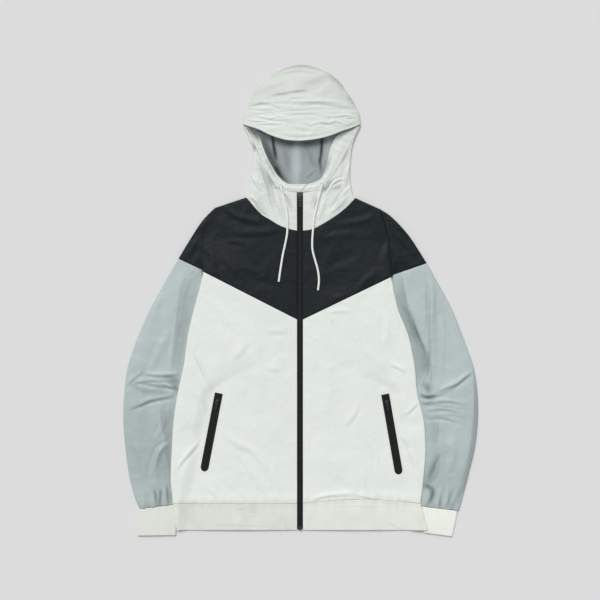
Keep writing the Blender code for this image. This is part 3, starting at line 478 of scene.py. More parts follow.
def bump(tree, height, distance, strength=1.0, after=None):
    node = tree.nodes.new("ShaderNodeBump")
    node.inputs["Strength"].default_value = strength
    node.inputs["Distance"].default_value = distance
    tree.links.new(height, node.inputs["Height"])
    if after is not None:
        tree.links.new(after, node.inputs["Normal"])
    return node.outputs["Normal"]


def coordinates(tree):
    place = tree.nodes.new("ShaderNodeTexCoord")
    along = tree.nodes.new("ShaderNodeUVMap")
    along.uv_map = "cloth"
    return place.outputs["Object"], along.outputs["UV"]


def shaded(tree, colour):
    # paints light and shade into a colour: multiplies it by one minus the piece's own tone attribute
    tone = tree.nodes.new("ShaderNodeAttribute")
    tone.attribute_name = "tone"
    dimmed = tree.nodes.new("ShaderNodeVectorMath")
    dimmed.operation = "SCALE"
    tree.links.new(colour, dimmed.inputs[0])
    tree.links.new(combine(tree, "SUBTRACT", 1.0, tone.outputs["Fac"]), dimmed.inputs["Scale"])
    return dimmed.outputs["Vector"]


def crossed(tree, coords, pitch):
    # threads that cross, or the holes between them
    return combine(tree, "MULTIPLY", wave(tree, coords, pitch), wave(tree, coords, pitch, "Y"))


def slanted(tree, coords, angle):
    node = tree.nodes.new("ShaderNodeMapping")
    node.inputs["Rotation"].default_value = (0, 0, angle)
    tree.links.new(coords, node.inputs["Vector"])
    return node.outputs["Vector"]


def nylon(name, settings):
    # plain-woven nylon: fine threads, small crinkles and a slight mottle
    look, tree, shader = newLook(name, settings["colour"], settings["roughness"])
    place, along = coordinates(tree)
    mottle = noise(tree, place, settings["mottleScale"], 4.0, 0.4)
    fine = noise(tree, place, 140.0, 2.0)
    mixed = combine(tree, "ADD", combine(tree, "MULTIPLY", mottle, 0.8), combine(tree, "MULTIPLY", fine, 0.2))
    colour = blendColour(
        tree, remap(tree, mixed, 0, 1, 0.3, 0.7), scaled(settings["colour"], 1 - settings["mottle"]),
        scaled(settings["colour"], 1 + settings["mottle"]))
    tree.links.new(shaded(tree, colour), shader.inputs["Base Color"])
    tree.links.new(
        remap(tree, mottle, settings["roughness"] - 0.06, settings["roughness"] + 0.08), shader.inputs["Roughness"])
    threads = crossed(tree, along, settings["thread"])
    small = noise(tree, place, settings["crinkleScale"], 3.0, 0.2)
    relief = bump(tree, small, settings["crinkleDepth"])
    relief = bump(tree, threads, settings["threadDepth"], 0.5, relief)
    tree.links.new(relief, shader.inputs["Normal"])
    shader.inputs["Sheen Weight"].default_value = settings["sheen"]
    shader.inputs["Sheen Roughness"].default_value = 0.45
    shader.inputs["Specular IOR Level"].default_value = settings["gloss"]
    return look


whiteNylon = {
    "colour": (0.80, 0.845, 0.795), "roughness": 0.5, "mottle": 0.025, "mottleScale": 14.0, "thread": 0.00055,
    "threadDepth": 0.00005, "crinkleScale": 55.0, "crinkleDepth": 0.0011, "sheen": 0.05, "gloss": 0.3,
}
# painted shade: the hood's white nylon made a little darker
hoodNylonPaintedShade = dict(whiteNylon, colour=(0.742, 0.785, 0.738), crinkleDepth=0.0016)
blackNylon = dict(
    whiteNylon, colour=(0.0062, 0.0112, 0.0138), mottle=0.16, mottleScale=12.0, crinkleDepth=0.0013, sheen=0.03,
    gloss=0.2)
greyNylon = dict(
    whiteNylon, colour=(0.478, 0.553, 0.556), roughness=0.46, mottle=0.035, mottleScale=11.0, crinkleScale=50.0,
    crinkleDepth=0.0013, gloss=0.35)


def elasticKnit(name, settings):
    # covered elastic: close upright ribs that open and close along the band
    look, tree, shader = newLook(name, settings["colour"], settings["roughness"])
    place, along = coordinates(tree)
    ribs = wave(tree, along, settings["rib"], "X", 0.6)
    cross = wave(tree, along, settings["cross"], "Y")
    patchy = noise(tree, place, 30.0, 3.0, 0.5)
    shade = combine(tree, "ADD", combine(tree, "MULTIPLY", ribs, 0.5), combine(tree, "MULTIPLY", patchy, 0.5))
    colour = blendColour(
        tree, remap(tree, shade, 0, 1, 0.25, 0.75), scaled(settings["colour"], 0.965),
        scaled(settings["colour"], 1.03))
    tree.links.new(shaded(tree, colour), shader.inputs["Base Color"])
    relief = bump(tree, ribs, settings["ribDepth"], 0.7)
    relief = bump(tree, cross, 0.00006, 0.5, relief)
    relief = bump(tree, patchy, 0.0006, 0.6, relief)
    tree.links.new(relief, shader.inputs["Normal"])
    shader.inputs["Sheen Weight"].default_value = 0.1
    shader.inputs["Specular IOR Level"].default_value = 0.25
    return look


knit = {"colour": (0.775, 0.80, 0.735), "roughness": 0.75, "rib": 0.0024, "ribDepth": 0.00014, "cross": 0.0009}


def meshLining(name, settings):
    # knitted mesh: rows of small holes
    look, tree, shader = newLook(name, settings["colour"], 0.8)
    place, along = coordinates(tree)
    hole = remap(tree, crossed(tree, along, settings["hole"]), 0, 1, 0.35, 0.75)
    patchy = noise(tree, place, 35.0, 3.0, 0.5)
    tone = blendColour(tree, patchy, scaled(settings["colour"], 0.86), scaled(settings["colour"], 1.12))
    mix = tree.nodes.new("ShaderNodeMix")
    mix.data_type = "RGBA"
    tree.links.new(combine(tree, "MULTIPLY", hole, 0.45), mix.inputs["Factor"])
    tree.links.new(tone, mix.inputs[6])
    mix.inputs[7].default_value = (*scaled(settings["colour"], 0.35), 1)
    tree.links.new(shaded(tree, mix.outputs[2]), shader.inputs["Base Color"])
    relief = bump(tree, combine(tree, "SUBTRACT", 1.0, hole), 0.0002, 0.6)
    relief = bump(tree, patchy, 0.0009, 0.6, relief)
    tree.links.new(relief, shader.inputs["Normal"])
    shader.inputs["Specular IOR Level"].default_value = 0.2
    return look


def wovenTape(name, settings):
    # zip tape: slanting twill lines
    look, tree, shader = newLook(name, settings["colour"], 0.7)
    place, along = coordinates(tree)
    twill = wave(tree, slanted(tree, along, 0.7), settings["twill"])
    dusty = noise(tree, place, 60.0, 3.0)
    lighter = scaled(settings["colour"], 2.0)
    colour = blendColour(tree, combine(tree, "MULTIPLY", twill, dusty), settings["colour"], lighter)
    tree.links.new(colour, shader.inputs["Base Color"])
    tree.links.new(bump(tree, twill, 0.00012, 0.8), shader.inputs["Normal"])
    shader.inputs["Specular IOR Level"].default_value = 0.2
    return look


def hardFinish(name, settings):
    # painted metal or moulded plastic with slight wear in its gloss
    look, tree, shader = newLook(name, settings["colour"], settings["roughness"])
    place = coordinates(tree)[0]
    worn = noise(tree, place, settings["wearScale"], 4.0, 0.3)
    colour = blendColour(tree, remap(tree, worn, 0, 1, 0.45, 0.8), settings["colour"], settings["worn"])
    tree.links.new(colour, shader.inputs["Base Color"])
    tree.links.new(
        remap(tree, worn, settings["roughness"] - 0.08, settings["roughness"] + 0.12), shader.inputs["Roughness"])
    tree.links.new(bump(tree, worn, 0.00004, 0.5), shader.inputs["Normal"])
    shader.inputs["Metallic"].default_value = settings["metallic"]
    return look


def braidedCord(name, settings):
    # round braid: two sets of strands that cross along the cord
    look, tree, shader = newLook(name, settings["colour"], 0.8)
    along = coordinates(tree)[1]
    first, second = (wave(tree, slanted(tree, along, angle), settings["strand"]) for angle in (0.785, -0.785))
    braid = combine(tree, "MAXIMUM", first, second)
    # painted shade: the braid is darker in the gaps between its strands
    colour = blendColour(tree, braid, scaled(settings["colour"], 0.86), settings["colour"])
    tree.links.new(colour, shader.inputs["Base Color"])
    tree.links.new(bump(tree, braid, 0.0002, 0.8), shader.inputs["Normal"])
    shader.inputs["Sheen Weight"].default_value = 0.1
    shader.inputs["Specular IOR Level"].default_value = 0.2
    return look


paint = {
    "colour": (0.010, 0.011, 0.011), "worn": (0.03, 0.032, 0.034), "roughness": 0.42, "wearScale": 180.0,
    "metallic": 0.0,
}
looks = {
    "white": nylon("white_nylon", whiteNylon),
    "hood": nylon("hood_nylon_painted_shade", hoodNylonPaintedShade),
    "black": nylon("black_nylon", blackNylon),
    "grey": nylon("grey_nylon", greyNylon),
    "elastic": elasticKnit("elastic_knit", knit),
    # painted light: the same knit made lighter for the cuffs
    "cuff": elasticKnit("cuff_knit_painted_light", dict(knit, colour=scaled(knit["colour"], 1.07))),
    "lining": meshLining("mesh_lining", {"colour": (0.36, 0.405, 0.415), "hole": 0.0021}),
    "tape": wovenTape("zip_tape", {"colour": (0.008, 0.009, 0.009), "twill": 0.0011}),
    "teeth": hardFinish("zip_teeth", dict(paint, worn=(0.02, 0.022, 0.022), roughness=0.38, wearScale=300.0)),
    "metal": hardFinish("painted_metal", dict(paint, colour=(0.010, 0.011, 0.012), metallic=0.1)),
    "eyelet": hardFinish("eyelet_paint", dict(paint, colour=(0.62, 0.65, 0.61), worn=(0.66, 0.69, 0.65))),
    "cord": braidedCord("white_cord", {"colour": (0.94, 0.955, 0.92), "strand": 0.0011}),
}
print("materials ready")


# straight down on the laid jacket
view = {"centre": (0.0, 0.130), "wide": 1.2, "lens": 85.0, "sensor": 36.0}
cameraData = bpy.data.cameras.new("camera")
cameraData.lens = view["lens"]
cameraData.sensor_width = view["sensor"]
cameraData.clip_end = 50
camera = bpy.data.objects.new("camera", cameraData)
scene.collection.objects.link(camera)
camera.location = (*view["centre"], view["wide"] * view["lens"] / view["sensor"])
scene.camera = camera

studio = {
    "floor": (0.765, 0.765, 0.765), "floorHalf": 12.0, "ambient": 0.40, "key": 2.05, "keyWide": 36.0,
    "keyTilt": (-32.0, -14.0),
}
floorMesh = bpy.data.meshes.new("floor")
half = studio["floorHalf"]
floorMesh.from_pydata([(-half, -half, 0), (half, -half, 0), (half, half, 0), (-half, half, 0)], [], [(0, 1, 2, 3)])
floor = bpy.data.objects.new("floor", floorMesh)
floor.location.z = -0.0004
scene.collection.objects.link(floor)
floorLook, floorShader = newLook("pale_floor", studio["floor"], 0.95)[::2]
floorShader.inputs["Specular IOR Level"].default_value = 0.0
floorMesh.materials.append(floorLook)

world = bpy.data.worlds.new("studio")
world.use_nodes = True
world.node_tree.nodes["Background"].inputs["Color"].default_value = (1, 1, 1, 1)
world.node_tree.nodes["Background"].inputs["Strength"].default_value = studio["ambient"]
scene.world = world
sunData = bpy.data.lights.new("key", "SUN")
sunData.energy = studio["key"]
sunData.angle = math.radians(studio["keyWide"])
sun = bpy.data.objects.new("key", sunData)
sun.rotation_euler = (math.radians(studio["keyTilt"][0]), math.radians(studio["keyTilt"][1]), 0)
scene.collection.objects.link(sun)
scene.view_settings.view_transform = "Standard"
print("camera, floor and light ready")


drawstrings = {
    "radius": 2.1, "points": 36, "ring": 14,
    "route": {
        "right": [
            (-38, 356.5, 10.9), (-37, 351, 11.2), (-34.5, 342, 9.0), (-31, 327, 9.2), (-27, 310, 9.0),
            (-25.5, 294, 9.0), (-25.5, 278, 8.8), (-25.5, 264, 8.6), (-29, 244, 8.6), (-33.5, 224, 8.6),
            (-37, 204, 8.6), (-40, 184, 8.6), (-42.4, 167, 8.6),
        ],
        "left": [
            (43.5, 360, 10.9), (42.5, 354, 11.2), (40, 344, 9.0), (35.5, 328, 9.0), (32, 312, 9.0),
            (28, 295, 9.0), (26.5, 276, 8.8), (24.5, 250, 8.6), (25, 230, 8.6), (30, 210, 8.6),
            (35.5, 190, 8.6), (37.8, 170, 8.6), (36, 150, 8.6),
        ],
    },
}


def cordMesh(name, path, radius, ring):
    # a tube along the path with rounded, slightly frayed ends
    path = np.array(path, float)
    way = travelled(path)
    tangent = np.gradient(path, axis=0)
    tangent /= np.linalg.norm(tangent, axis=1)[:, None]
    sideways = np.cross(tangent, [0, 0, 1.0])
    sideways /= np.linalg.norm(sideways, axis=1)[:, None]
    above = np.cross(sideways, tangent)
    angles = np.linspace(0, 2 * np.pi, ring, endpoint=False)
    swell = 1 + 0.02 * np.sin(way / 3.1)
    circle = np.cos(angles)[:, None] * sideways[:, None] + np.sin(angles)[:, None] * above[:, None]
    points = path[:, None, :] + circle * (radius * swell)[:, None, None]
    caps = []
    for end, sign in ((0, -1), (-1, 1)):
        caps.append([
            path[end] + circle[end] * radius * shrink + tangent[end] * sign * out
            for shrink, out in ((0.93, 0.35), (0.72, 0.75), (0.4, 0.95))])
    points = np.concatenate([np.array(caps[0][::-1]), points, np.array(caps[1])])
    along = np.concatenate([[-0.95, -0.75, -0.35], way, way[-1] + np.array([0.35, 0.75, 0.95])])
    uv = np.stack(np.broadcast_arrays(angles[None, :] * radius, along[:, None]), axis=-1) * mm
    item = gridObject(name, points, closed=True, uv=uv)
    shape = bmesh.new()
    shape.from_mesh(item.data)
    loops = [e for e in shape.edges if e.is_boundary]
    bmesh.ops.contextual_create(shape, geom=[e for e in loops if e.verts[0].index < ring])
    bmesh.ops.contextual_create(shape, geom=[e for e in loops if e.verts[0].index >= ring and e.is_boundary])
    bmesh.ops.recalc_face_normals(shape, faces=shape.faces)
    shape.to_mesh(item.data)
    shape.free()
    item.data.shade_smooth()
    return item


for side in sides:
    route = smoothLine(drawstrings["route"][side], 12)
    path = lineAt(route, np.linspace(0, 1, drawstrings["points"] * 4))
    string = cordMesh("cord_" + side, path, drawstrings["radius"], drawstrings["ring"])
    dress(string, looks["cord"], ["drawstring_" + side])
print("drawstrings ready")


bodyFront = {
    "step": 2.6, "thickness": 0.6, "gain": 1.5, "seed": {"right": 11, "left": 41},
    "creases": {
        # route of (x, y), width, ridge height, depth of the trough on its right-hand side
        "right": [
            ([(-216, 50), (-210, 26), (-202, 6), (-192, -14), (-184, -30), (-180, -44)], 6, 2.2, 1.7),
            ([(-206, -54), (-196, -74), (-188, -94)], 6, 1.4, 0.9),
            ([(-232, -118), (-216, -134), (-204, -160)], 16, -1.4, 0),
            ([(-248, -210), (-234, -190), (-220, -174), (-208, -160), (-202, -146)], 6, 1.5, 1.3),
            ([(-136, 14), (-120, 26), (-108, 48)], 10, 0.8, 0.5), ([(-70, 70), (-44, 68), (-22, 70)], 9, 0.8, 0.5),
            ([(-66, -4), (-50, -8), (-38, -6)], 8, 0.7, 0.4),
            ([(-150, -140), (-124, -158), (-100, -168), (-80, -190), (-62, -222)], 9, 1.3, 0.8),
            ([(-120, -180), (-100, -210), (-86, -234), (-76, -250)], 7, 1.1, 0.8),
            ([(-56, -206), (-48, -238), (-40, -256)], 6, 1, 0.7),
            ([(-172, 130), (-150, 96), (-128, 70)], 13, 0.9, 0.5),
            ([(-96, 44), (-84, -30), (-90, -100)], 17, 0.8, 0.4),
            ([(-180, -246), (-172, -258), (-168, -268)], 5, 1.2, 0.9),
            ([(-120, -248), (-112, -262), (-108, -270)], 4.5, 1, 0.8),
        ],
        "left": [
            ([(58, 105), (78, 108), (102, 107)], 6, 0.9, 0.6), ([(61, 100), (62, 92), (61, 84)], 4, 0.8, 0.4),
            ([(104, 70), (116, 48), (130, 30), (150, 12), (172, -6)], 12, 0.7, 0.4),
            ([(180, 3), (192, -3), (202, -8), (211, -17)], 5, 1.6, 1.3),
            ([(172, 92), (174, 66), (172, 40)], 10, 1.1, 0.6), ([(182, 160), (184, 150), (184, 138)], 5, 0.8, 0.6),
            ([(208, 82), (206, 70), (208, 56)], 6, 1, 0.7), ([(209, -98), (220, -90), (235, -73)], 5, 1.5, 1.3),
            ([(190, -104), (214, -114), (240, -128)], 13, -1.1, 0),
            ([(200, -138), (208, -148), (217, -162)], 6, 0.9, 0.6),
            ([(220, -168), (230, -198), (236, -232)], 7, 1.1, 0.8), ([(88, -122), (104, -104), (117, -79)], 7, 1, 0.6),
            ([(150, -158), (153, -180), (152, -202)], 4, 0.7, 0.5),
            ([(122, -212), (126, -232), (128, -252)], 5, 0.9, 0.6), ([(40, 30), (56, -40), (50, -110)], 17, 0.8, 0.4),
            ([(20, -272), (40, -264), (58, -260), (104, -256)], 5, 1.3, 1),
            ([(114, -258), (134, -264), (150, -266)], 4.5, 1.4, 1.2),
            ([(66, -230), (84, -240), (102, -250)], 11, -1, 0),
        ],
    },
}


def hemPucker(x, above, seed):
    # gathers that the elastic draws into the cloth above a seam
    reach = np.exp(-above / (12 + 5 * cloud(x, 0 * x, 30, seed)))
    ripple = np.sin(x / 3.3 + 2.2 * cloud(x, 0 * x, 26, seed + 1)) * (0.65 + 0.35 * cloud(x, 0 * x, 40, seed + 2))
    return ripple * reach * 0.95


def fromPocket(side, a, y):
    # distance from the pocket's middle line
    p, q = (np.array(c, float) for c in pocket["line"][side])
    d = q - p
    t = np.clip(((a - p[0]) * d[0] + (y - p[1]) * d[1]) / (d @ d), 0, 1)
    return np.hypot(a - p[0] - d[0] * t, y - p[1] - d[1] * t)


def makeFront(side):
    sign = sides[side]
    dense = smoothLine(torso[side], 10)
    mid = (dense[:, 0] + dense[:, 1]) / 2
    share = (mid[0] - mid) / (mid[0] - mid[-1])
    length = mid[0] - mid[-1]
    ends = (0.15, 0.4, 0.9, 1.6, 2.6)
    down = spread(length, bodyFront["step"], ends, ends)[0] / length
    yZip, ySide, edge = valuesAt(down, share, dense).T
    width = edge - zipEdge
    d = spread(width, bodyFront["step"], zipSteps, foldSteps)
    toSide = width[:, None] - d
    u = d / width[:, None]
    a = zipEdge + d
    y = yZip[:, None] + (ySide - yZip)[:, None] * u
    y = y + hem["arch"][side] * np.sin(np.pi * u) * ease((down[:, None] - 0.75) / 0.25)
    x = sign * a
    z = frontHeight(side, a, y)
    fromSeam = (down * length)[:, None] + 0 * a
    toHem = ((1 - down) * length)[:, None] + 0 * a
    calm = foldTurn(toSide, 10) * foldTurn(d, 8) * foldTurn(toHem, 6) * foldTurn(fromSeam, 8)
    calm = calm * ease((fromPocket(side, a, y) - 9) / 12)
    number = bodyFront["seed"][side]
    z += calm * creaseField(x, y, bodyFront["creases"][side], number, bodyFront["gain"], 0.85)
    z += calm * (0.7 * cloud(x, y, 60, number + 2) + 0.35 * cloud(x, y, 24, number + 3))
    z += calm * 0.45 * crinkle(x, y, 34, number + 4) * ease(0.6 + cloud(x, y, 80, number + 5))
    blouse = np.exp(-((toHem - 9) / 9) ** 2)
    z += 1.5 * blouse * foldTurn(toSide, 20) * (0.75 + 0.25 * cloud(x, y, 45, number + 6))
    z += hemPucker(x, toHem, number + 8) * foldTurn(toSide, 10) * foldTurn(d, 14)
    z += seamDip(fromSeam, 0.6) + seamDip(toHem, 0.35, 1.6) + seamDip(d, 0.9, 1.2)
    low = backHeight(side, a, y)
    middle = (frontHeight(side, a, y) + low) / 2 + 0.15
    z = middle + (z - middle) * foldTurn(toSide)
    points = np.stack([x, y, z], axis=-1)
    return cloth(
        "body_front_" + side, points, bodyFront["thickness"], looks["white"], ["front_body_" + side],
        flip=(side == "left"))


fronts = {side: makeFront(side) for side in sides}
print("front bodies ready")

bodyBack = {
    "step": 5.0, "thickness": 0.6, "length": 450.0,
    "creases": [
        ([(-150, 60), (-110, 20), (-60, -20)], 13, 1.5, 0), ([(160, 70), (120, 10), (90, -40)], 12, 1.4, 0),
        ([(-180, -120), (-130, -150), (-70, -170)], 10, 1.3, 0), ([(60, -110), (110, -150), (190, -170)], 11, 1.4, 0),
        ([(-30, 40), (-20, -60), (-34, -150)], 12, 1, 0), ([(-120, -230), (-90, -250), (-60, -262)], 7, 1.4, 0),
        ([(40, -240), (90, -252), (150, -258)], 8, 1.2, 0), ([(-60, 110), (0, 100), (70, 112)], 10, 0.9, 0),
    ],
}


def backPoints(rightRows, leftRows, down, step):
    # whole back sections from the right fold to the left fold
    yRight, edgeRight = (np.interp(down, rightRows[0], rightRows[k]) for k in (1, 2))
    yLeft, edgeLeft = (np.interp(down, leftRows[0], leftRows[k]) for k in (1, 2))
    width = edgeRight + edgeLeft
    d = spread(width, step, foldSteps, foldSteps)
    x = d - edgeRight[:, None]
    y = yRight[:, None] + (yLeft - yRight)[:, None] * d / width[:, None]
    fromFold = np.minimum(d, width[:, None] - d)
    a = np.abs(x)
    low = np.where(x < 0, backHeight("right", a, y), backHeight("left", a, y))
    high = np.where(x < 0, frontHeight("right", a, y), frontHeight("left", a, y))
    return x, y, low, (low + high) / 2 - 0.15, fromFold


def bodyRows(side):
    dense = smoothLine(torso[side], 10)
    mid = dense[:, 1]
    return (mid[0] - mid) / (mid[0] - mid[-1]), dense[:, 1], dense[:, 2]


def makeBack():
    length = bodyBack["length"]
    down = spread(length, bodyBack["step"], seamSteps, seamSteps)[0] / length
    x, y, low, middle, fromFold = backPoints(bodyRows("right"), bodyRows("left"), down, bodyBack["step"])
    toSeam = (np.minimum(down, 1 - down) * length)[:, None] + 0 * x
    calm = foldTurn(fromFold, 18) * foldTurn(toSeam, 10)
    dent = creaseField(x, y, bodyBack["creases"], 301) + 0.7 * np.clip(cloud(x, y, 55, 302), 0, 1)
    z = low + np.clip(calm * dent, 0, 2.2) + 0.5 * np.clip(-seamDip(toSeam, 1.0), 0, 1)
    z = middle + (z - middle) * foldTurn(fromFold)
    points = np.stack([x, y, z], axis=-1)
    return cloth("body_back", points, bodyBack["thickness"], looks["white"], ["back_body"])


makeBack()
print("back body ready")


hemBand = {
    # tone by side is painted shade on the right band and painted light on the left
    "step": 1.7, "backStep": 2.6, "thickness": 0.9, "ribs": 0.22, "tone": {"right": 0.035, "left": -0.025},
    "seed": {"right": 61, "left": 71},
    "creases": {
        "right": [
            ([(-182, -321), (-150, -318), (-76, -321), (-50, -324)], 2.6, 0.35, 0.45),
            ([(-131, -285), (-120, -286), (-109, -286)], 3, 0.5, 0.4),
            ([(-105, -300), (-96, -301), (-87, -300)], 3, 0.5, 0.4),
            ([(-34, -310), (-32, -318), (-28, -325)], 4, 0.5, 0.5),
            ([(-222, -282), (-214, -300), (-210, -322)], 6, 0.5, 0.4),
        ],
        "left": [
            ([(170, -310), (188, -319), (207, -330)], 3.5, 0.6, 0.5),
            ([(10, -306), (13, -318), (12, -327)], 4, 0.6, 0.6), ([(60, -283), (110, -280), (180, -283)], 3, 0.5, 0.3),
            ([(228, -284), (236, -300), (240, -322)], 6, 0.5, 0.4),
        ],
    },
}


def hemRows(side):
    # share down the band, y, distance out to the side fold
    high, low = torso[side][-1][2], hem["side"][side]
    return np.array([0.0, 0.5, 1.0]), np.array([hem["seam"] - 0.15, -303.0, hem["bottom"]]), np.array([
        high, (high + low) / 2, low])


def makeHemFront(side):
    sign = sides[side]
    length = hem["seam"] - hem["bottom"]
    down = spread(length, hemBand["step"], seamSteps, rimSteps)[0] / length
    rows = hemRows(side)
    yRow, edge = (np.interp(down, rows[0], rows[k]) for k in (1, 2))
    width = edge - zipEdge
    d = spread(width, hemBand["step"], zipSteps, foldSteps)
    a = zipEdge + d
    toSide = width[:, None] - d
    u = d / width[:, None]
    y = yRow[:, None] + hem["arch"][side] * np.sin(np.pi * u) * (1 - ease(down[:, None] * 1.4))
    x = sign * a
    fromSeam = (down * length)[:, None] + 0 * a
    toEnd = length - fromSeam
    base = frontHeight(side, a, y) - 0.3 - 0.7 * ease(fromSeam / 9)
    z = base + 0.5 * np.sin(np.pi * np.clip(fromSeam / length, 0, 1))
    number = hemBand["seed"][side]
    gathers = hemPucker(x, fromSeam, bodyFront["seed"][side] + 8)
    z += gathers * foldTurn(toEnd, 12) * foldTurn(toSide, 10) * foldTurn(d, 14)
    ribs = hemBand["ribs"] * np.sin(x * 2 * np.pi / 5.2 + 1.5 * cloud(x, y, 30, number))
    z += ribs * foldTurn(fromSeam, 6) * foldTurn(toEnd, 6)
    z += creaseField(x, y, hemBand["creases"][side], number + 2)
    z += 0.45 * cloud(x, y, 26, number + 3) * foldTurn(toEnd, 8) * foldTurn(d, 8)
    z += seamDip(fromSeam, 0.15) + seamDip(toEnd, 1.2, 1.6) + seamDip(d, 0.9, 1.2)
    middle = (base + backHeight(side, a, y)) / 2 + 0.15
    z = middle + (z - middle) * foldTurn(toSide)
    points = np.stack([x, y, z], axis=-1)
    # painted shade or light by side, with a random mottle over it
    tone = hemBand["tone"][side] + 0.08 * cloud(x, y, 18, number + 5) * (cloud(x, y, 60, number + 6) + 0.4)
    return cloth(
        "hem_band_front_" + side, points, hemBand["thickness"], looks["elastic"],
        ["hem_front_" + side], flip=(side == "left"), tone=tone)


def makeHemBack():
    length = hem["seam"] - hem["bottom"]
    down = spread(length, hemBand["backStep"], seamSteps, rimSteps)[0] / length
    x, y, low, middle, fromFold = backPoints(hemRows("right"), hemRows("left"), down, hemBand["backStep"])
    fromSeam = (down * length)[:, None] + 0 * x
    ripple = 0.25 + 0.25 * np.sin(x * 2 * np.pi / 7.6 + 1.5 * cloud(x, y, 30, 82))
    z = low + ripple * foldTurn(fromFold, 10) * foldTurn(fromSeam, 5) * foldTurn(length - fromSeam, 5)
    z = middle - 0.5 + (z - middle + 0.5) * foldTurn(fromFold)
    points = np.stack([x, y, z], axis=-1)
    return cloth("hem_band_back", points, hemBand["thickness"], looks["elastic"], ["hem_back"])


for side in sides:
    makeHemFront(side)
makeHemBack()
print("hem band ready")


yoke = {
    "step": 2.6, "backStep": 4.2, "thickness": 0.6, "neckShare": 0.64, "backNeck": (0.19, 0.83),
    "seed": {"right": 91, "left": 101},
    "creases": {
        "right": [
            ([(-154, 316), (-138, 304), (-120, 294), (-96, 288), (-74, 284)], 7, 1.7, 1.3),
            ([(-140, 266), (-90, 263), (-40, 270)], 8, 1.2, 0.8), ([(-146, 250), (-128, 246), (-110, 244)], 6, 1, 0.7),
            ([(-188, 240), (-176, 216), (-170, 190)], 9, 1.4, 0.9),
            ([(-120, 200), (-80, 180), (-40, 168)], 11, 1, 0.5), ([(-60, 240), (-48, 200), (-40, 150)], 12, 0.8, 0.5),
            ([(-150, 214), (-130, 190), (-120, 168)], 9, 1.1, 0.6),
        ],
        "left": [
            ([(150, 304), (132, 292), (104, 286), (80, 280)], 8, 1.5, 1),
            ([(140, 258), (96, 262), (48, 256)], 8, 1.1, 0.7), ([(180, 250), (170, 222), (166, 196)], 9, 1.4, 0.9),
            ([(120, 214), (84, 196), (44, 178)], 11, 1, 0.5), ([(70, 236), (54, 210), (44, 172)], 12, 0.9, 0.5),
            ([(156, 190), (132, 170), (112, 150)], 8, 1, 0.6), ([(60, 128), (76, 134), (100, 138)], 6, 0.8, 0.5),
        ],
    },
}


def makeFrontYoke(side):
    sign = sides[side]
    low = np.array([zipEdge, torso[side][0][0] + 0.15])
    high = np.array([torso[side][0][2], torso[side][0][1] + 0.15])
    neck = smoothLine([(a, y - 0.35) for a, y in neckline[side]], 8)
    tip = np.array(shoulderTip[side], float)
    neckTop = lineAt(neck, np.linspace(0, 1, 60))
    shoulder = np.linspace(neckTop[-1], tip, 30)
    # the neckline takes the first share of the top line and the shoulder the rest
    share = np.concatenate([np.linspace(0, yoke["neckShare"], 60), np.linspace(yoke["neckShare"], 1, 30)[1:]])
    topPoints = np.vstack([neckTop, shoulder[1:]])
    sleeveEnd = armhole(side, 1 - np.linspace(0, 1, 60))
    sleeveEnd[:, 1] += 0.15 * (1 - np.linspace(0, 1, 60))
    across = 215.0
    tall = float(np.hypot(*(tip - high)))
    us = spread(across, yoke["step"], zipSteps, seamSteps)[0] / across
    vs = spread(tall, yoke["step"], seamSteps, foldSteps)[0] / tall
    u, v = us[None, :, None], vs[:, None, None]
    b = low + (high - low) * us[:, None]
    t = valuesAt(us, share, topPoints)
    s = low + (neckTop[0] - low) * vs[:, None]
    e = lineAt(sleeveEnd, vs)
    place = blendEdges(b[None], t[None], s[:, None], e[:, None], u, v, (low, high, neckTop[0], tip))
    a, y = place[..., 0], place[..., 1]
    x = sign * a
    z = frontHeight(side, a, y)
    fromSeam = (vs * tall)[:, None] + 0 * a
    toTop = tall - fromSeam
    fromZip = a - zipEdge
    toSleeve = ((1 - us) * across)[None, :] + 0 * a
    calm = foldTurn(fromZip, 8) * foldTurn(toSleeve, 10) * foldTurn(fromSeam, 10) * foldTurn(toTop, 8)
    number = yoke["seed"][side]
    z += calm * creaseField(x, y, yoke["creases"][side], number)
    z += calm * (
        0.8 * cloud(x, y, 52, number + 1) + 0.35 * cloud(x, y, 22, number + 2) + 0.5 * crinkle(x, y, 30, number + 3))
    z += seamDip(fromSeam, 0.35) + seamDip(toSleeve, 0.5) + seamDip(np.maximum(fromZip, 0), 0.9, 1.2)
    onShoulder = us[None, :] >= yoke["neckShare"]
    folded = z / 2 + 0.15 + (z / 2 - 0.15) * foldTurn(toTop)
    z = np.where(onShoulder, folded, z + seamDip(toTop, 0.7))
    points = np.stack([x, y, z], axis=-1)
    return cloth(
        "yoke_front_" + side, points, yoke["thickness"], looks["black"], ["front_yoke_" + side],
        flip=(side == "right"))


def backNeck(share):
    share = np.asarray(share, float)[..., None]
    start = np.array([-shoulderNeck["right"][0], shoulderNeck["right"][1]], float)
    end = np.array(shoulderNeck["left"], float)
    return start + (end - start) * share - np.array([0, 16.0]) * np.sin(np.pi * share)


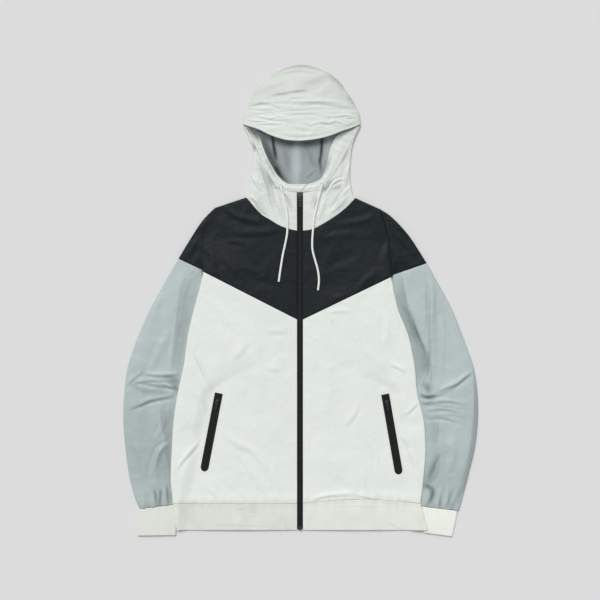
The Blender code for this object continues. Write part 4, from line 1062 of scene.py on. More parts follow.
def makeBackYoke():
    fine = np.linspace(0, 1, 40)
    tipR = np.array(shoulderTip["right"], float) * np.array([-1, 1])
    tipL = np.array(shoulderTip["left"], float)
    neck = backNeck(fine) - np.array([0, 0.35])
    bottomR = np.array([-torso["right"][0][2], torso["right"][0][1] + 0.15])
    bottomL = np.array([torso["left"][0][2], torso["left"][0][1] + 0.15])
    first, last = yoke["backNeck"]
    share = np.concatenate([np.linspace(0, first, 20), np.linspace(first, last, 40)[1:], np.linspace(last, 1, 20)[1:]])
    top = np.vstack([np.linspace(tipR, neck[0], 20), neck[1:], np.linspace(neck[-1], tipL, 20)[1:]])
    startLine = armhole("right", 1 - fine) * np.array([-1, 1])
    endLine = armhole("left", 1 - fine)
    startLine[:, 1] += 0.15 * (1 - fine)
    endLine[:, 1] += 0.15 * (1 - fine)
    across, tall = 374.0, 130.0
    us = spread(across, yoke["backStep"], seamSteps, seamSteps)[0] / across
    vs = spread(tall, yoke["backStep"], seamSteps, foldSteps)[0] / tall
    u, v = us[None, :, None], vs[:, None, None]
    b = bottomR + (bottomL - bottomR) * us[:, None]
    t, s, e = valuesAt(us, share, top), lineAt(startLine, vs), lineAt(endLine, vs)
    place = blendEdges(b[None], t[None], s[:, None], e[:, None], u, v, (bottomR, bottomL, tipR, tipL))
    x, y = place[..., 0], place[..., 1]
    toTop = ((1 - vs) * tall)[:, None] + 0 * x
    toSide = np.minimum(us, 1 - us)[None, :] * across + 0 * x
    fromSeam = (vs * tall)[:, None] + 0 * x
    dent = np.clip(1.1 * cloud(x, y, 48, 121) + 0.5 * crinkle(x, y, 36, 122), 0, 1.6)
    z = dent * foldTurn(toTop, 12) * foldTurn(toSide, 12) * foldTurn(fromSeam, 10)
    onShoulder = (us[None, :] <= first) | (us[None, :] >= last)
    front = np.where(x < 0, frontHeight("right", np.abs(x), y), frontHeight("left", np.abs(x), y))
    middle = front / 2 - 0.15
    z = np.where(onShoulder, middle + (z - middle) * foldTurn(toTop), z)
    points = np.stack([x, y, z], axis=-1)
    return cloth("yoke_back", points, yoke["thickness"], looks["black"], ["back_yoke"], flip=True)


yokes = {side: makeFrontYoke(side) for side in sides}
makeBackYoke()
print("yokes ready")


# sleeves and cuffs are closed flattened tubes, from the outer fold over the top to the inner fold and back underneath
sleeve = {
    "step": 3.0, "thickness": 0.6, "crown": 2.2, "gain": 2.0, "seed": {"right": 131, "left": 151},
    "paintedShadeAndLayers": {
        # route of (x, y), width, how much darker and 1 for a sharp edge: painted shade along creases and over shaded
        # parts of the sleeve, and darker zones where folded cloth behind shows through
        "right": [
            ([(-258, -14), (-253, 40), (-247, 100), (-234, 168), (-206, 196)], 26, 0.17, 1),
            ([(-288, -230), (-284, -186), (-270, -152), (-277, -120), (-280, -70)], 30, 0.15, 1),
            ([(-322, -40), (-320, -150), (-296, -300)], 52, 0.11, 0),
            ([(-344, -34), (-306, -52), (-262, -44)], 6, 0.18, 0),
            ([(-276, -22), (-250, -30), (-238, -40)], 7, 0.26, 0),
            ([(-252, -62), (-300, -74), (-336, -90)], 6, 0.16, 1),
            ([(-246, -44), (-270, -34), (-322, -36)], 5, 0.2, 1), ([(-256, -40), (-244, -50), (-238, -60)], 5, 0.3, 0),
            ([(-300, -64), (-270, -56), (-246, -56)], 4, 0.14, 0),
            ([(-262, -250), (-262, -206), (-270, -170)], 16, 0.12, 1), ([(-291, -242), (-286, -278)], 3, 0.24, 0),
            ([(-278, -246), (-280, -282)], 3, 0.3, 0), ([(-266, -238), (-262, -280)], 3, 0.26, 0),
            ([(-256, -246), (-255, -276)], 2.5, 0.26, 0), ([(-334, 0), (-318, -14), (-300, -10)], 14, 0.07, 0),
        ],
        "left": [
            ([(204, 178), (216, 118), (234, 66), (250, 30), (251, -6), (239, -36)], 26, 0.26, 1),
            ([(216, 118), (234, 66), (250, 30), (256, 0)], 3, 0.2, 0),
            ([(256, 30), (255, -6), (250, -30)], 3.5, 0.26, 0),
            ([(252, 165), (256, 100), (259, 20), (262, -50)], 4, 0.12, 0),
            ([(270, 150), (274, 60), (272, -30)], 4, 0.08, 1), ([(290, 110), (291, 30), (284, -30)], 4, 0.07, 1),
            ([(238, -57), (254, -63), (274, -60)], 4.5, 0.42, 0),
            ([(270, -62), (296, -50), (320, -32), (344, -12)], 4, 0.26, 1),
            ([(246, -34), (254, -46), (258, -58)], 6, 0.3, 0), ([(330, -90), (290, -84), (246, -82)], 5, 0.2, 1),
            ([(240, -74), (252, -76), (268, -72)], 4, 0.24, 0), ([(326, -106), (290, -102), (248, -104)], 5, 0.16, 1),
            ([(277, -112), (277, -136), (274, -160)], 26, 0.13, 1),
            ([(294, -290), (314, -250), (331, -206), (342, -150), (347, -70), (345, -10)], 18, 0.26, 1),
            ([(280, -176), (266, -210), (246, -250)], 6, 0.26, 0),
            ([(280, -176), (268, -206), (250, -236)], 16, 0.12, 1),
            ([(243, -240), (262, -246), (262, -264), (250, -284)], 4.5, 0.36, 0),
            ([(300, -150), (290, -220), (280, -290)], 44, 0.06, 0), ([(280, -262), (278, -286)], 3, 0.22, 0),
            ([(304, -246), (292, -288)], 3, 0.2, 0),
        ],
    },
    "creases": {
        "right": [
            ([(-214, 190), (-230, 150), (-238, 110), (-248, 60), (-254, 30), (-260, -10)], 8, 1, 0.8),
            ([(-312, -17), (-280, -20), (-238, -18)], 5, 1.9, 1.7),
            ([(-326, -32), (-290, -38), (-262, -42), (-240, -47)], 5, 2.3, 2),
            ([(-344, -44), (-324, -34), (-296, -30), (-268, -38), (-240, -52)], 4, 1.2, 1.2),
            ([(-338, -86), (-318, -78), (-300, -70), (-270, -64), (-246, -60)], 5.5, 2.3, 1.8),
            ([(-350, -42), (-332, -26), (-312, -10)], 6, 1.2, 0.8),
            ([(-280, -72), (-275, -96), (-274, -120), (-286, -146)], 8, 1.6, 1.1),
            ([(-254, -154), (-270, -162), (-282, -172), (-290, -196), (-295, -222)], 8, 1.8, 1.3),
            ([(-290, -248), (-284, -262), (-280, -278)], 5, 1.2, 1),
            ([(-272, -246), (-270, -262), (-266, -276)], 5, 1.3, 1.1),
            ([(-308, -244), (-303, -262), (-300, -280)], 5, 1, 0.8),
            ([(-256, -244), (-254, -258), (-252, -274)], 5, 1.1, 0.9),
            ([(-276, 150), (-292, 110), (-306, 60)], 13, 1.2, 0.6),
            ([(-330, 10), (-318, -50), (-322, -120)], 12, 1.1, 0.7),
            ([(-330, -150), (-318, -190), (-308, -230)], 10, 1.3, 0.8),
            ([(-270, 60), (-286, 20), (-296, -8)], 10, 1.1, 0.7),
        ],
        "left": [
            ([(200, 124), (210, 116), (217, 108), (224, 82), (230, 50)], 7, 1.9, 1.5),
            ([(260, 172), (263, 140), (262, 90), (260, 40)], 7, 1.9, 1.3),
            ([(252, 22), (257, -10), (256, -24), (254, -48)], 6, 1.5, 1.2),
            ([(247, -16), (241, -36), (235, -54)], 5, 1.7, 1.4), ([(234, -58), (252, -62), (276, -59)], 4.5, 2.2, 2),
            ([(278, -52), (294, -44), (312, -36), (328, -24), (342, -14)], 5.5, 2.2, 1.8),
            ([(248, -76), (290, -71), (330, -78)], 4.5, 1.8, 1.6),
            ([(250, -90), (284, -87), (318, -92)], 4.5, 1.6, 1.4),
            ([(250, -106), (280, -103), (318, -112)], 5, 1.5, 1.2),
            ([(273, -108), (277, -122), (276, -136)], 5, 1, 0.7),
            ([(276, -194), (265, -220), (248, -238)], 7, 1.7, 1.3),
            ([(248, -236), (262, -244), (258, -272)], 5, 1.4, 1.1),
            ([(349, -66), (351, -110), (348, -160), (336, -212), (316, -256), (303, -278)], 6, 1.3, 1),
            ([(288, 140), (306, 96), (318, 52)], 12, 1.2, 0.7),
            ([(300, -140), (304, -180), (296, -216)], 10, 1.3, 0.8),
            ([(280, -244), (277, -262), (275, -280)], 5, 1.1, 0.9),
            ([(296, -240), (292, -262), (290, -282)], 5, 1, 0.8),
        ],
    },
}


def sections(rows, step, startSteps, endSteps):
    # outer and inner points of each ring, its distance down the piece and the piece's length
    edges = [smoothLine([r[k] for r in rows], 10) for k in (0, 1)]
    way = travelled((edges[0] + edges[1]) / 2)
    down = spread(way[-1], step, startSteps, endSteps)[0]
    outer, inner = (valuesAt(down, way, edge) for edge in edges)
    return outer, inner, down, way[-1]


def twoWalls(x, y, high, low, turn):
    # upper and lower wall of a flattened tube, joined at its two folds
    middle = (high + low) / 2
    upper = np.stack([x, y, middle + (high - middle) * turn], axis=-1)
    lower = np.stack([x, y, middle + (low - middle) * turn], axis=-1)
    return np.concatenate([upper, lower[:, -2:0:-1]], axis=1)


def tube(side, outer, inner, top, step, under=None):
    # rings across the sections; top and under give the walls' heights
    width = np.hypot(*(inner - outer).T)
    d = spread(width, step, foldSteps, foldSteps)
    w = (d / width[:, None])[..., None]
    place = outer[:, None] * (1 - w) + inner[:, None] * w
    a, y = place[..., 0], place[..., 1]
    fromFold = np.minimum(d, width[:, None] - d)
    high = top(a, y, fromFold)
    low = under(a, y, fromFold) if under else 0.0 * a
    return twoWalls(sides[side] * a, y, high, low, foldTurn(fromFold))


def makeSleeve(side):
    outer, inner, down, length = sections(sleeveRows[side], sleeve["step"], seamSteps, (0.0, 0.3, 0.8, 1.6, 2.6))
    number = sleeve["seed"][side]
    fromCap, toCuff = down[:, None], (length - down)[:, None]

    def top(a, y, fromFold):
        x = sides[side] * a
        # free of the body beside it, where nothing lies on the sleeve
        free = ease((a - torsoEdge(side, y) - 1) / 14)
        calm = foldTurn(fromFold, 12) * foldTurn(fromCap, 10) * foldTurn(toCuff, 6)
        z = sleeveHigh + sleeve["crown"] * free * np.sin(np.pi * np.clip(fromFold / 90, 0, 0.5)) * foldTurn(toCuff, 30)
        relief = creaseField(x, y, sleeve["creases"][side], number, sleeve["gain"], 0.8)
        relief += 1.0 * cloud(x, y, 48, number + 1)
        relief += 0.5 * cloud(x, y, 20, number + 2) + 0.6 * crinkle(x, y, 30, number + 3)
        z += calm * free * relief
        puff = np.exp(-((toCuff - 10) / 10) ** 2)
        z += free * (1.6 * puff + 2.2 * hemPucker(x, toCuff, number + 4)) * foldTurn(fromFold, 12)
        return z + (seamDip(fromCap, 0.5) + seamDip(toCuff, 1.2, 2.2)) * foldTurn(fromFold, 4)

    def under(a, y, fromFold):
        x = sides[side] * a
        dent = 0.8 * cloud(x, y, 40, number + 5) + 0.6 * crinkle(x, y, 32, number + 6)
        return np.clip(dent, 0, 1.4) * foldTurn(fromFold, 14) * foldTurn(fromCap, 8) * foldTurn(toCuff, 8)

    points = tube(side, outer, inner, top, sleeve["step"], under)
    upper = np.arange(points.shape[1]) <= points.shape[1] // 2
    # painted shade, on the upper wall only
    tone = paintedShadeField(points[..., 0], points[..., 1], sleeve["paintedShadeAndLayers"][side], number + 7, 1.5) * upper
    return cloth(
        "sleeve_body_" + side, points, sleeve["thickness"], looks["grey"], ["sleeve_" + side],
        closed=True, flip=(side == "right"), tone=tone)


# tone: painted shade on the right cuff and painted light on the left
cuff = {"step": 1.7, "acrossStep": 1.9, "tone": {"right": 0.075, "left": -0.06}, "seed": {"right": 171, "left": 181}}


def makeCuff(side):
    outer, inner, down, length = sections(cuffRows[side], cuff["step"], seamSteps, rimSteps)
    number = cuff["seed"][side]
    fromSeam, toEnd = down[:, None], (length - down)[:, None]

    def top(a, y, fromFold):
        x = sides[side] * a
        free = ease((a - torsoEdge(side, y) + 2) / 10)
        ribs = hemBand["ribs"] * np.sin(a * 2 * np.pi / 5.0 + 1.4 * cloud(x, y, 26, number))
        ends = foldTurn(fromSeam, 5) * foldTurn(toEnd, 5)
        z = sleeveHigh - 0.2 + free * (ribs * ends + 0.5 * cloud(x, y, 24, number + 1))
        z += 0.8 * hemPucker(x, fromSeam, number + 2) * free
        z += 0.6 * free * np.sin(np.pi * np.clip(fromSeam / length, 0, 1))
        return z + (seamDip(fromSeam, 0.7) + seamDip(toEnd, 1.0, 1.6)) * foldTurn(fromFold, 4)

    points = tube(side, outer, inner, top, cuff["acrossStep"])
    return cloth(
        "cuff_band_" + side, points, hemBand["thickness"], looks["cuff"], ["cuff_" + side],
        closed=True, flip=(side == "right"), tone=cuff["tone"][side] + 0 * points[..., 0])


cap = {
    "step": 2.6, "seed": {"right": 191, "left": 201},
    "creases": {
        "right": [
            ([(-196, 262), (-214, 238), (-226, 214)], 8, 1.4, 0.9),
            ([(-190, 232), (-202, 216), (-210, 204)], 7, 1.1, 0.8),
            ([(-180, 296), (-196, 276), (-206, 262)], 8, 0.9, 0.5),
        ],
        "left": [
            ([(190, 268), (212, 240), (232, 214)], 8, 1.4, 0.9), ([(186, 236), (200, 216), (212, 200)], 7, 1.1, 0.8),
            ([(174, 300), (190, 282), (204, 262)], 8, 0.9, 0.5),
        ],
    },
}


def makeCap(side):
    # fans from the armhole seam to the seam with the sleeve
    seamLength = float(np.hypot(*(armhole(side, 1.0) - armhole(side, 0.0))))
    w = spread(seamLength, cap["step"], foldSteps, foldSteps)[0] / seamLength
    rows = [armhole(side, w, 0.2)]
    for number, (outer, inner) in enumerate(capRows[side], start=1):
        outer, inner = np.array(outer, float), np.array(inner, float)
        bow = armholeBow[side] * (1 - number / 3)
        normal = np.array([outer[1] - inner[1], inner[0] - outer[0]])
        normal /= np.hypot(*normal)
        rows.append(outer + (inner - outer) * w[:, None] + normal * (bow * np.sin(np.pi * w))[:, None])
    rows = np.array(rows)
    dense = smoothLine(rows.reshape(4, -1), 12).reshape(-1, len(w), 2)
    share = np.linspace(0, 1, len(dense))
    wide = travelled(dense[:, 0])[-1]
    down = spread(wide, cap["step"], seamSteps, seamSteps)[0] / wide
    place = np.stack([valuesAt(down, share, dense[:, j]) for j in range(len(w))], axis=1)
    a, y = place[..., 0], place[..., 1]
    x = sides[side] * a
    seam = armhole(side, w)
    start = frontHeight(side, seam[:, 0], seam[:, 1])[None, :]
    fromSeam, toSeam = (down * wide)[:, None] + 0 * a, ((1 - down) * wide)[:, None] + 0 * a
    high = start + (sleeveHigh - start) * down[:, None]
    number = cap["seed"][side]
    fromFold = (np.minimum(w, 1 - w) * seamLength)[None, :] + 0 * a
    calm = foldTurn(fromFold, 12) * foldTurn(fromSeam, 8) * foldTurn(toSeam, 8)
    high += calm * (creaseField(x, y, cap["creases"][side], number) + 0.7 * cloud(x, y, 36, number + 1))
    high += calm * 0.5 * crinkle(x, y, 26, number + 2)
    high += (seamDip(fromSeam, 0.5) + seamDip(toSeam, 0.4)) * foldTurn(fromFold, 4)
    points = twoWalls(x, y, high, 0 * high, foldTurn(fromFold))
    return cloth(
        "sleeve_top_" + side, points, sleeve["thickness"], looks["black"], ["sleeve_cap_" + side],
        closed=True, flip=(side == "right"))


for side in sides:
    makeCap(side)
sleeves = {side: makeSleeve(side) for side in sides}
for side in sides:
    makeCuff(side)
print("sleeves and cuffs ready")

hood = {
    # route of (x, y), width and how much darker: painted shade along folds, creases and under the visor, and painted
    # highlights where below 0
    "crownPaintedShade": [
        ([(-66, 574), (-38, 590), (2, 598), (42, 591), (62, 581)], 5, 0.2, 0),
        ([(56, 583), (84, 563), (92, 546)], 8, 0.2, 0), ([(-14, 548), (14, 554), (46, 569), (62, 580)], 8, 0.09, 0),
        ([(94, 540), (104, 526), (112, 512)], 5, 0.12, 0), ([(-96, 540), (-60, 546), (-20, 550)], 14, 0.04, 0),
    ],
    "casingPaintedShade": {
        "right": [
            ([(-112, 480), (-92, 466), (-78, 446)], 8, 0.38, 0), ([(-70, 416), (-58, 392), (-44, 370)], 3, 0.14, 0),
        ],
        "left": [
            ([(70, 462), (94, 472), (114, 480)], 6, 0.2, 0), ([(62, 420), (54, 396), (48, 380)], 4, 0.14, 0),
        ],
    },
    "sidePaintedShade": {
        "right": [
            ([(-78, 424), (-70, 408), (-60, 392)], 4, 0.22, 0), ([(-68, 392), (-58, 370), (-50, 350)], 4, 0.2, 0),
            ([(-82, 402), (-72, 378), (-64, 352), (-58, 318)], 4, 0.14, 0),
            ([(-98, 446), (-92, 434), (-88, 424)], 4, 0.18, 0), ([(-34, 348), (-25, 332), (-19, 308)], 4, 0.12, 0),
            ([(-94, 350), (-82, 330), (-72, 306)], 10, 0.05, 0),
        ],
        "left": [
            ([(96, 440), (86, 418), (74, 398)], 4, 0.24, 0), ([(62, 374), (52, 358), (42, 344)], 4, 0.16, 0),
            ([(36, 340), (31, 326), (28, 308)], 4, 0.14, 0), ([(84, 362), (70, 356), (60, 350)], 4, 0.12, 0),
            ([(94, 350), (80, 326), (64, 304)], 10, 0.05, 0),
        ],
    },
    "liningPaintedShadeAndHighlight": [
        ([(-4, 470), (-8, 420), (-7, 350)], 8, -0.3, 0), ([(-56, 462), (-52, 434), (-46, 408)], 3, 0.55, 0),
        ([(44, 462), (43, 430), (39, 400)], 3, 0.55, 0), ([(38, 416), (41, 398), (42, 380)], 3, 0.3, 0),
        ([(-84, 476), (-64, 426), (-50, 396), (-34, 356)], 11, 0.42, 0),
        ([(-50, 400), (-38, 378), (-22, 362)], 6, 0.26, 0),
        ([(-74, 456), (-36, 446), (0, 443), (34, 446), (64, 456)], 7, 0.26, 0),
        ([(60, 460), (56, 430), (50, 404)], 7, -0.16, 0), ([(-34, 440), (-26, 410), (-20, 380)], 5, 0.1, 0),
        ([(14, 440), (22, 412), (34, 392)], 5, 0.12, 0),
    ],
    "gain": 1.9, "sideGain": 3.5, "step": 2.2, "thickness": 0.6, "dome": 20.0, "visorWall": 0.9, "casingWall": 0.5,
    "sideSeed": {"right": 211, "left": 221}, "casingSeed": {"right": 231, "left": 241},
    "sideCreases": {
        "right": [
            ([(-88, 414), (-78, 398), (-66, 374), (-58, 350), (-50, 326)], 3.5, 1.1, 0.9),
            ([(-70, 418), (-64, 390), (-50, 366), (-44, 342), (-38, 310)], 3, 0.9, 0.7),
            ([(-86, 366), (-70, 358), (-62, 334), (-54, 310)], 4, 0.8, 0.6),
            ([(-102, 338), (-86, 326), (-70, 310)], 5, 0.7, 0.5), ([(-77, 424), (-71, 407), (-63, 392)], 5, 1.6, 1.5),
            ([(-81, 400), (-72, 380), (-66, 364), (-60, 346), (-55, 322)], 5, 1.8, 1.4),
            ([(-67, 388), (-57, 371), (-47, 355)], 4, 1.2, 1), ([(-34, 346), (-25, 336), (-19, 318)], 4, 1.1, 0.9),
            ([(-92, 336), (-82, 316), (-66, 302)], 7, 1.2, 0.8), ([(-96, 444), (-92, 438), (-90, 430)], 4, 1.2, 1),
            ([(-48, 338), (-40, 312), (-34, 290)], 6, 0.9, 0.6), ([(-96, 376), (-86, 362), (-78, 346)], 6, 0.9, 0.5),
        ],
        "left": [
            ([(88, 438), (78, 414), (70, 390), (54, 366), (46, 350)], 3.5, 1.2, 1),
            ([(94, 374), (70, 366), (50, 338)], 4, 0.8, 0.6), ([(102, 358), (86, 342), (70, 318)], 4, 0.7, 0.6),
            ([(42, 358), (34, 334), (30, 302)], 3.5, 0.8, 0.6), ([(93, 436), (87, 419), (75, 400)], 5, 1.7, 1.6),
            ([(61, 373), (52, 360), (43, 347)], 5, 1.5, 1.4), ([(35, 338), (32, 328), (29, 316)], 4, 1.1, 0.9),
            ([(82, 362), (73, 357), (64, 353)], 5, 1.1, 0.8), ([(90, 338), (76, 318), (60, 304)], 7, 1.2, 0.8),
            ([(98, 398), (92, 380), (90, 360)], 6, 1.1, 0.7), ([(50, 336), (44, 314), (36, 292)], 6, 0.9, 0.6),
        ],
    },
    "crownCreases": [
        ([(-94, 521), (-40, 524), (2, 524), (70, 524), (108, 514)], 5, 0.6, 0.4),
        ([(66, 562), (84, 551), (96, 536)], 4, 0.8, 0.7), ([(-46, 542), (-2, 546), (30, 554), (54, 570)], 6, 0.6, 0.5),
        ([(-104, 512), (-70, 509), (-40, 512)], 3, 0.6, 0.5), ([(14, 513), (50, 512), (90, 510)], 3, 0.6, 0.5),
        ([(-30, 530), (0, 533), (34, 531)], 4, 0.5, 0.4), ([(-58, 538), (-40, 541), (-22, 542)], 5, 1.2, 0.9),
        ([(-26, 545), (-8, 547), (12, 549)], 5, 1, 0.8), ([(-102, 519), (-80, 523), (-58, 521)], 5, 1.2, 0.9),
        ([(-58, 519), (-48, 516), (-38, 513)], 4, 0.9, 0.7),
        ([(-4, 521), (24, 523), (52, 522), (80, 518), (102, 513)], 7, 1.5, 1.1),
        ([(2, 553), (28, 559), (56, 567)], 10, -1.5, 0), ([(56, 577), (70, 570), (80, 562), (89, 550)], 5, -1.6, 0),
        ([(-62, 571), (-30, 584), (4, 588), (50, 577)], 6, 0.9, 1.1),
        ([(96, 535), (103, 531), (106, 526)], 4, 0.9, 1.4), ([(-84, 548), (-60, 558), (-30, 566)], 9, 0.9, 0.6),
    ],
    "visorCreases": [
        ([(-86, 495), (-62, 490), (-42, 494), (-22, 490)], 3, 0.8, 0.7),
        ([(-106, 490), (-86, 486), (-50, 487)], 3.5, 0.8, 0.7),
        ([(2, 494), (18, 478), (42, 482), (86, 476)], 3.5, 0.7, 0.7),
        ([(46, 497), (62, 494), (94, 497), (110, 494)], 3, 0.7, 0.6), ([(-28, 498), (0, 500), (40, 501)], 3, 0.8, 0.8),
        ([(-20, 474), (10, 470), (30, 466)], 5, 0.4, 0.4), ([(-92, 482), (-60, 481), (-32, 480)], 4, 0.9, 0.8),
        ([(38, 485), (56, 482), (72, 485), (92, 478)], 4, 1, 0.9), ([(92, 494), (98, 493), (106, 493)], 3, 0.8, 0.8),
        ([(-80, 496), (-50, 489), (-18, 488)], 5, 0.8, 0.6), ([(-110, 482), (-98, 474), (-82, 467)], 5, -1.3, 0),
        ([(88, 468), (104, 476), (116, 481)], 5, -1.3, 0), ([(-40, 462), (0, 457), (44, 462)], 5, 0.6, 0.5),
    ],
    "liningCreases": [
        ([(-13, 372), (-14, 410), (-12, 448)], 7, 1.3, 0.5), ([(-59, 452), (-54, 434), (-47, 410)], 4, 1.1, 0.7),
        ([(49, 448), (48, 424), (46, 398)], 4, 1.1, 0.7), ([(8, 372), (20, 382), (32, 392)], 4, 1, 0.6),
        ([(22, 450), (18, 420), (16, 396)], 6, 0.8, 0.6), ([(-38, 440), (-32, 410), (-30, 380)], 6, 0.8, 0.6),
        ([(-50, 392), (-40, 376), (-28, 366)], 4, 0.9, 0.6),
    ],
}
domeSteps = (0.0, 0.15, 0.6, 1.4, 2.6, 4.4, 6.6, 9.2)


def hoodFront(u, fall=0.0):
    across = np.clip(1 - np.abs(2 * u - 1) ** 2.4, 0, 1) ** 0.6
    return hoodSeamZ + 0.7 + hood["dome"] * across * np.clip(1 - np.asarray(fall) ** 2.2, 0, 1) ** 0.7


def makeHoodSide(side):
    sign = sides[side]
    neck = smoothLine([(a, y + 0.35) for a, y in neckline[side]], 8)[::-1]
    outer = smoothLine([tuple(neck[0])] + hoodSideEdge[side][1:], 10)
    casing = [row[0] for row in casingRows[side]][::-1]
    zipLow, zipHigh = neck[-1], np.array([zipEdge, casing[0][1] - 0.7])
    zipLine = np.linspace(zipLow, zipHigh, 24)
    casingLine = smoothLine([tuple(zipHigh)] + [(a + 0.05, y - 0.05) for a, y in casing[1:]], 10)
    inner = np.vstack([zipLine[:-1], casingLine])
    zipShare = travelled(zipLine)[-1] / travelled(inner)[-1]
    top = np.array([outer[-1], inner[-1]])
    tall = float(travelled(inner)[-1])
    vs = spread(tall, hood["step"], seamSteps, (0.0, 0.5))[0] / tall
    widths = np.hypot(*(lineAt(inner, vs) - lineAt(outer, vs)).T)
    reach = np.clip(widths / 18, 0.15, 1)[:, None]
    start = np.array(foldSteps)[None, :] * reach
    interior = start[:, -1:] + (widths[:, None] - 1.2 * reach - start[:, -1:]) * np.linspace(0, 1, 44)[None, :]
    endPart = widths[:, None] - np.array([0.5, 0.0])[None, :] * reach
    d = np.concatenate([start[:, :-1], interior, endPart], axis=1)
    us = d / widths[:, None]
    place = patch(neck, top, outer, inner, us, vs)
    a, y = place[..., 0], place[..., 1]
    x = sign * a
    settle = ease(np.clip(vs[:, None] / zipShare, 0, 1))
    seam = lineAt(neck, us)
    flat = 5.2 + 1.4 * np.sin(np.pi * us / 2)
    z = frontHeight(side, seam[..., 0], seam[..., 1]) * (1 - settle) + flat * settle
    beside = ease((a - zipEdge) / 9)
    z = np.where(vs[:, None] <= zipShare * 1.02, z * beside + frontHeight(side, zipEdge + 0 * a, y) * (1 - beside), z)
    toInner = widths[:, None] - d
    fromNeck = (vs * tall)[:, None] + 0 * a
    calm = foldTurn(d, 8) * foldTurn(toInner, 7) * foldTurn(fromNeck, 6)
    number = hood["sideSeed"][side]
    relief = creaseField(x, y, hood["sideCreases"][side], number, hood["sideGain"], 0.8)
    z += calm * (relief + 0.6 * cloud(x, y, 30, number + 1))
    z += calm * (0.7 * crinkle(x, y, 24, number + 2) + 0.5 * crinkle(x, y, 12, number + 3))
    onZip = vs[:, None] <= zipShare
    z += seamDip(fromNeck, 0.5) + np.where(onZip, seamDip(toInner, 0.9, 1.2), seamDip(toInner, 0.35, 1.6))
    rim = hoodSeamZ + 0.15
    z = rim + (z - rim) * foldTurn(d, fold * reach)
    points = np.stack([x, y, z], axis=-1)
    # tone: painted shade along the side's creases
    return cloth(
        "hood_side_cloth_" + side, points, hood["thickness"], looks["hood"], ["hood_side_" + side],
        flip=(side == "left"), tone=paintedShadeField(x, y, hood["sidePaintedShade"][side], number + 7, 1.7))


def makeCasing(side):
    outer, inner, down = sections(casingRows[side], 1.5, (0.0, 0.3, 0.9), (0.0, 0.3, 0.9))[:3]
    width = np.hypot(*(inner - outer).T)
    edge = np.array([0.0, 0.1, 0.35, 0.8, 1.4])
    reach = np.clip(width / 12, 0.4, 1)[:, None]
    inside = edge[-1] * reach + (width[:, None] - 2 * edge[-1] * reach) * np.linspace(0, 1, 12)[None, :]
    d = np.concatenate([edge[None, :-1] * reach, inside, width[:, None] - edge[None, -2::-1] * reach], axis=1)
    w = (d / width[:, None])[..., None]
    place = outer[:, None] * (1 - w) + inner[:, None] * w
    x, y = sides[side] * place[..., 0], place[..., 1]
    w = w[..., 0]
    number = hood["casingSeed"][side]
    fromFold = np.minimum(d, width[:, None] - d)
    run = down[:, None] + 0 * x
    gather = 0.62 * np.sin(run / 2.3 + 2 * cloud(run, 0 * run, 20, number))
    gather *= 0.6 + 0.4 * cloud(run, 0 * run, 34, number + 1)
    # the cord inside lifts the middle; a stitched channel lies beside it
    top = 6.4 + 1.2 * np.exp(-((w - 0.42) / 0.2) ** 2) - 0.5 * np.exp(-((w - 0.78) / 0.06) ** 2)
    top += (gather + 0.5 * cloud(x, y, 18, number + 2)) * np.sin(np.pi * w)
    points = twoWalls(x, y, top, 4.9 + 0 * top, foldTurn(fromFold, edge[-1] * reach))
    # painted shade along the casing, the darkest under the visor at the temples
    tone = paintedShadeField(points[..., 0], points[..., 1], hood["casingPaintedShade"][side], number + 7, 2.2)
    return cloth(
        "hood_casing_cloth_" + side, points, hood["casingWall"], looks["hood"],
        ["hood_casing_" + side], closed=True, flip=(side == "right"), tone=tone)


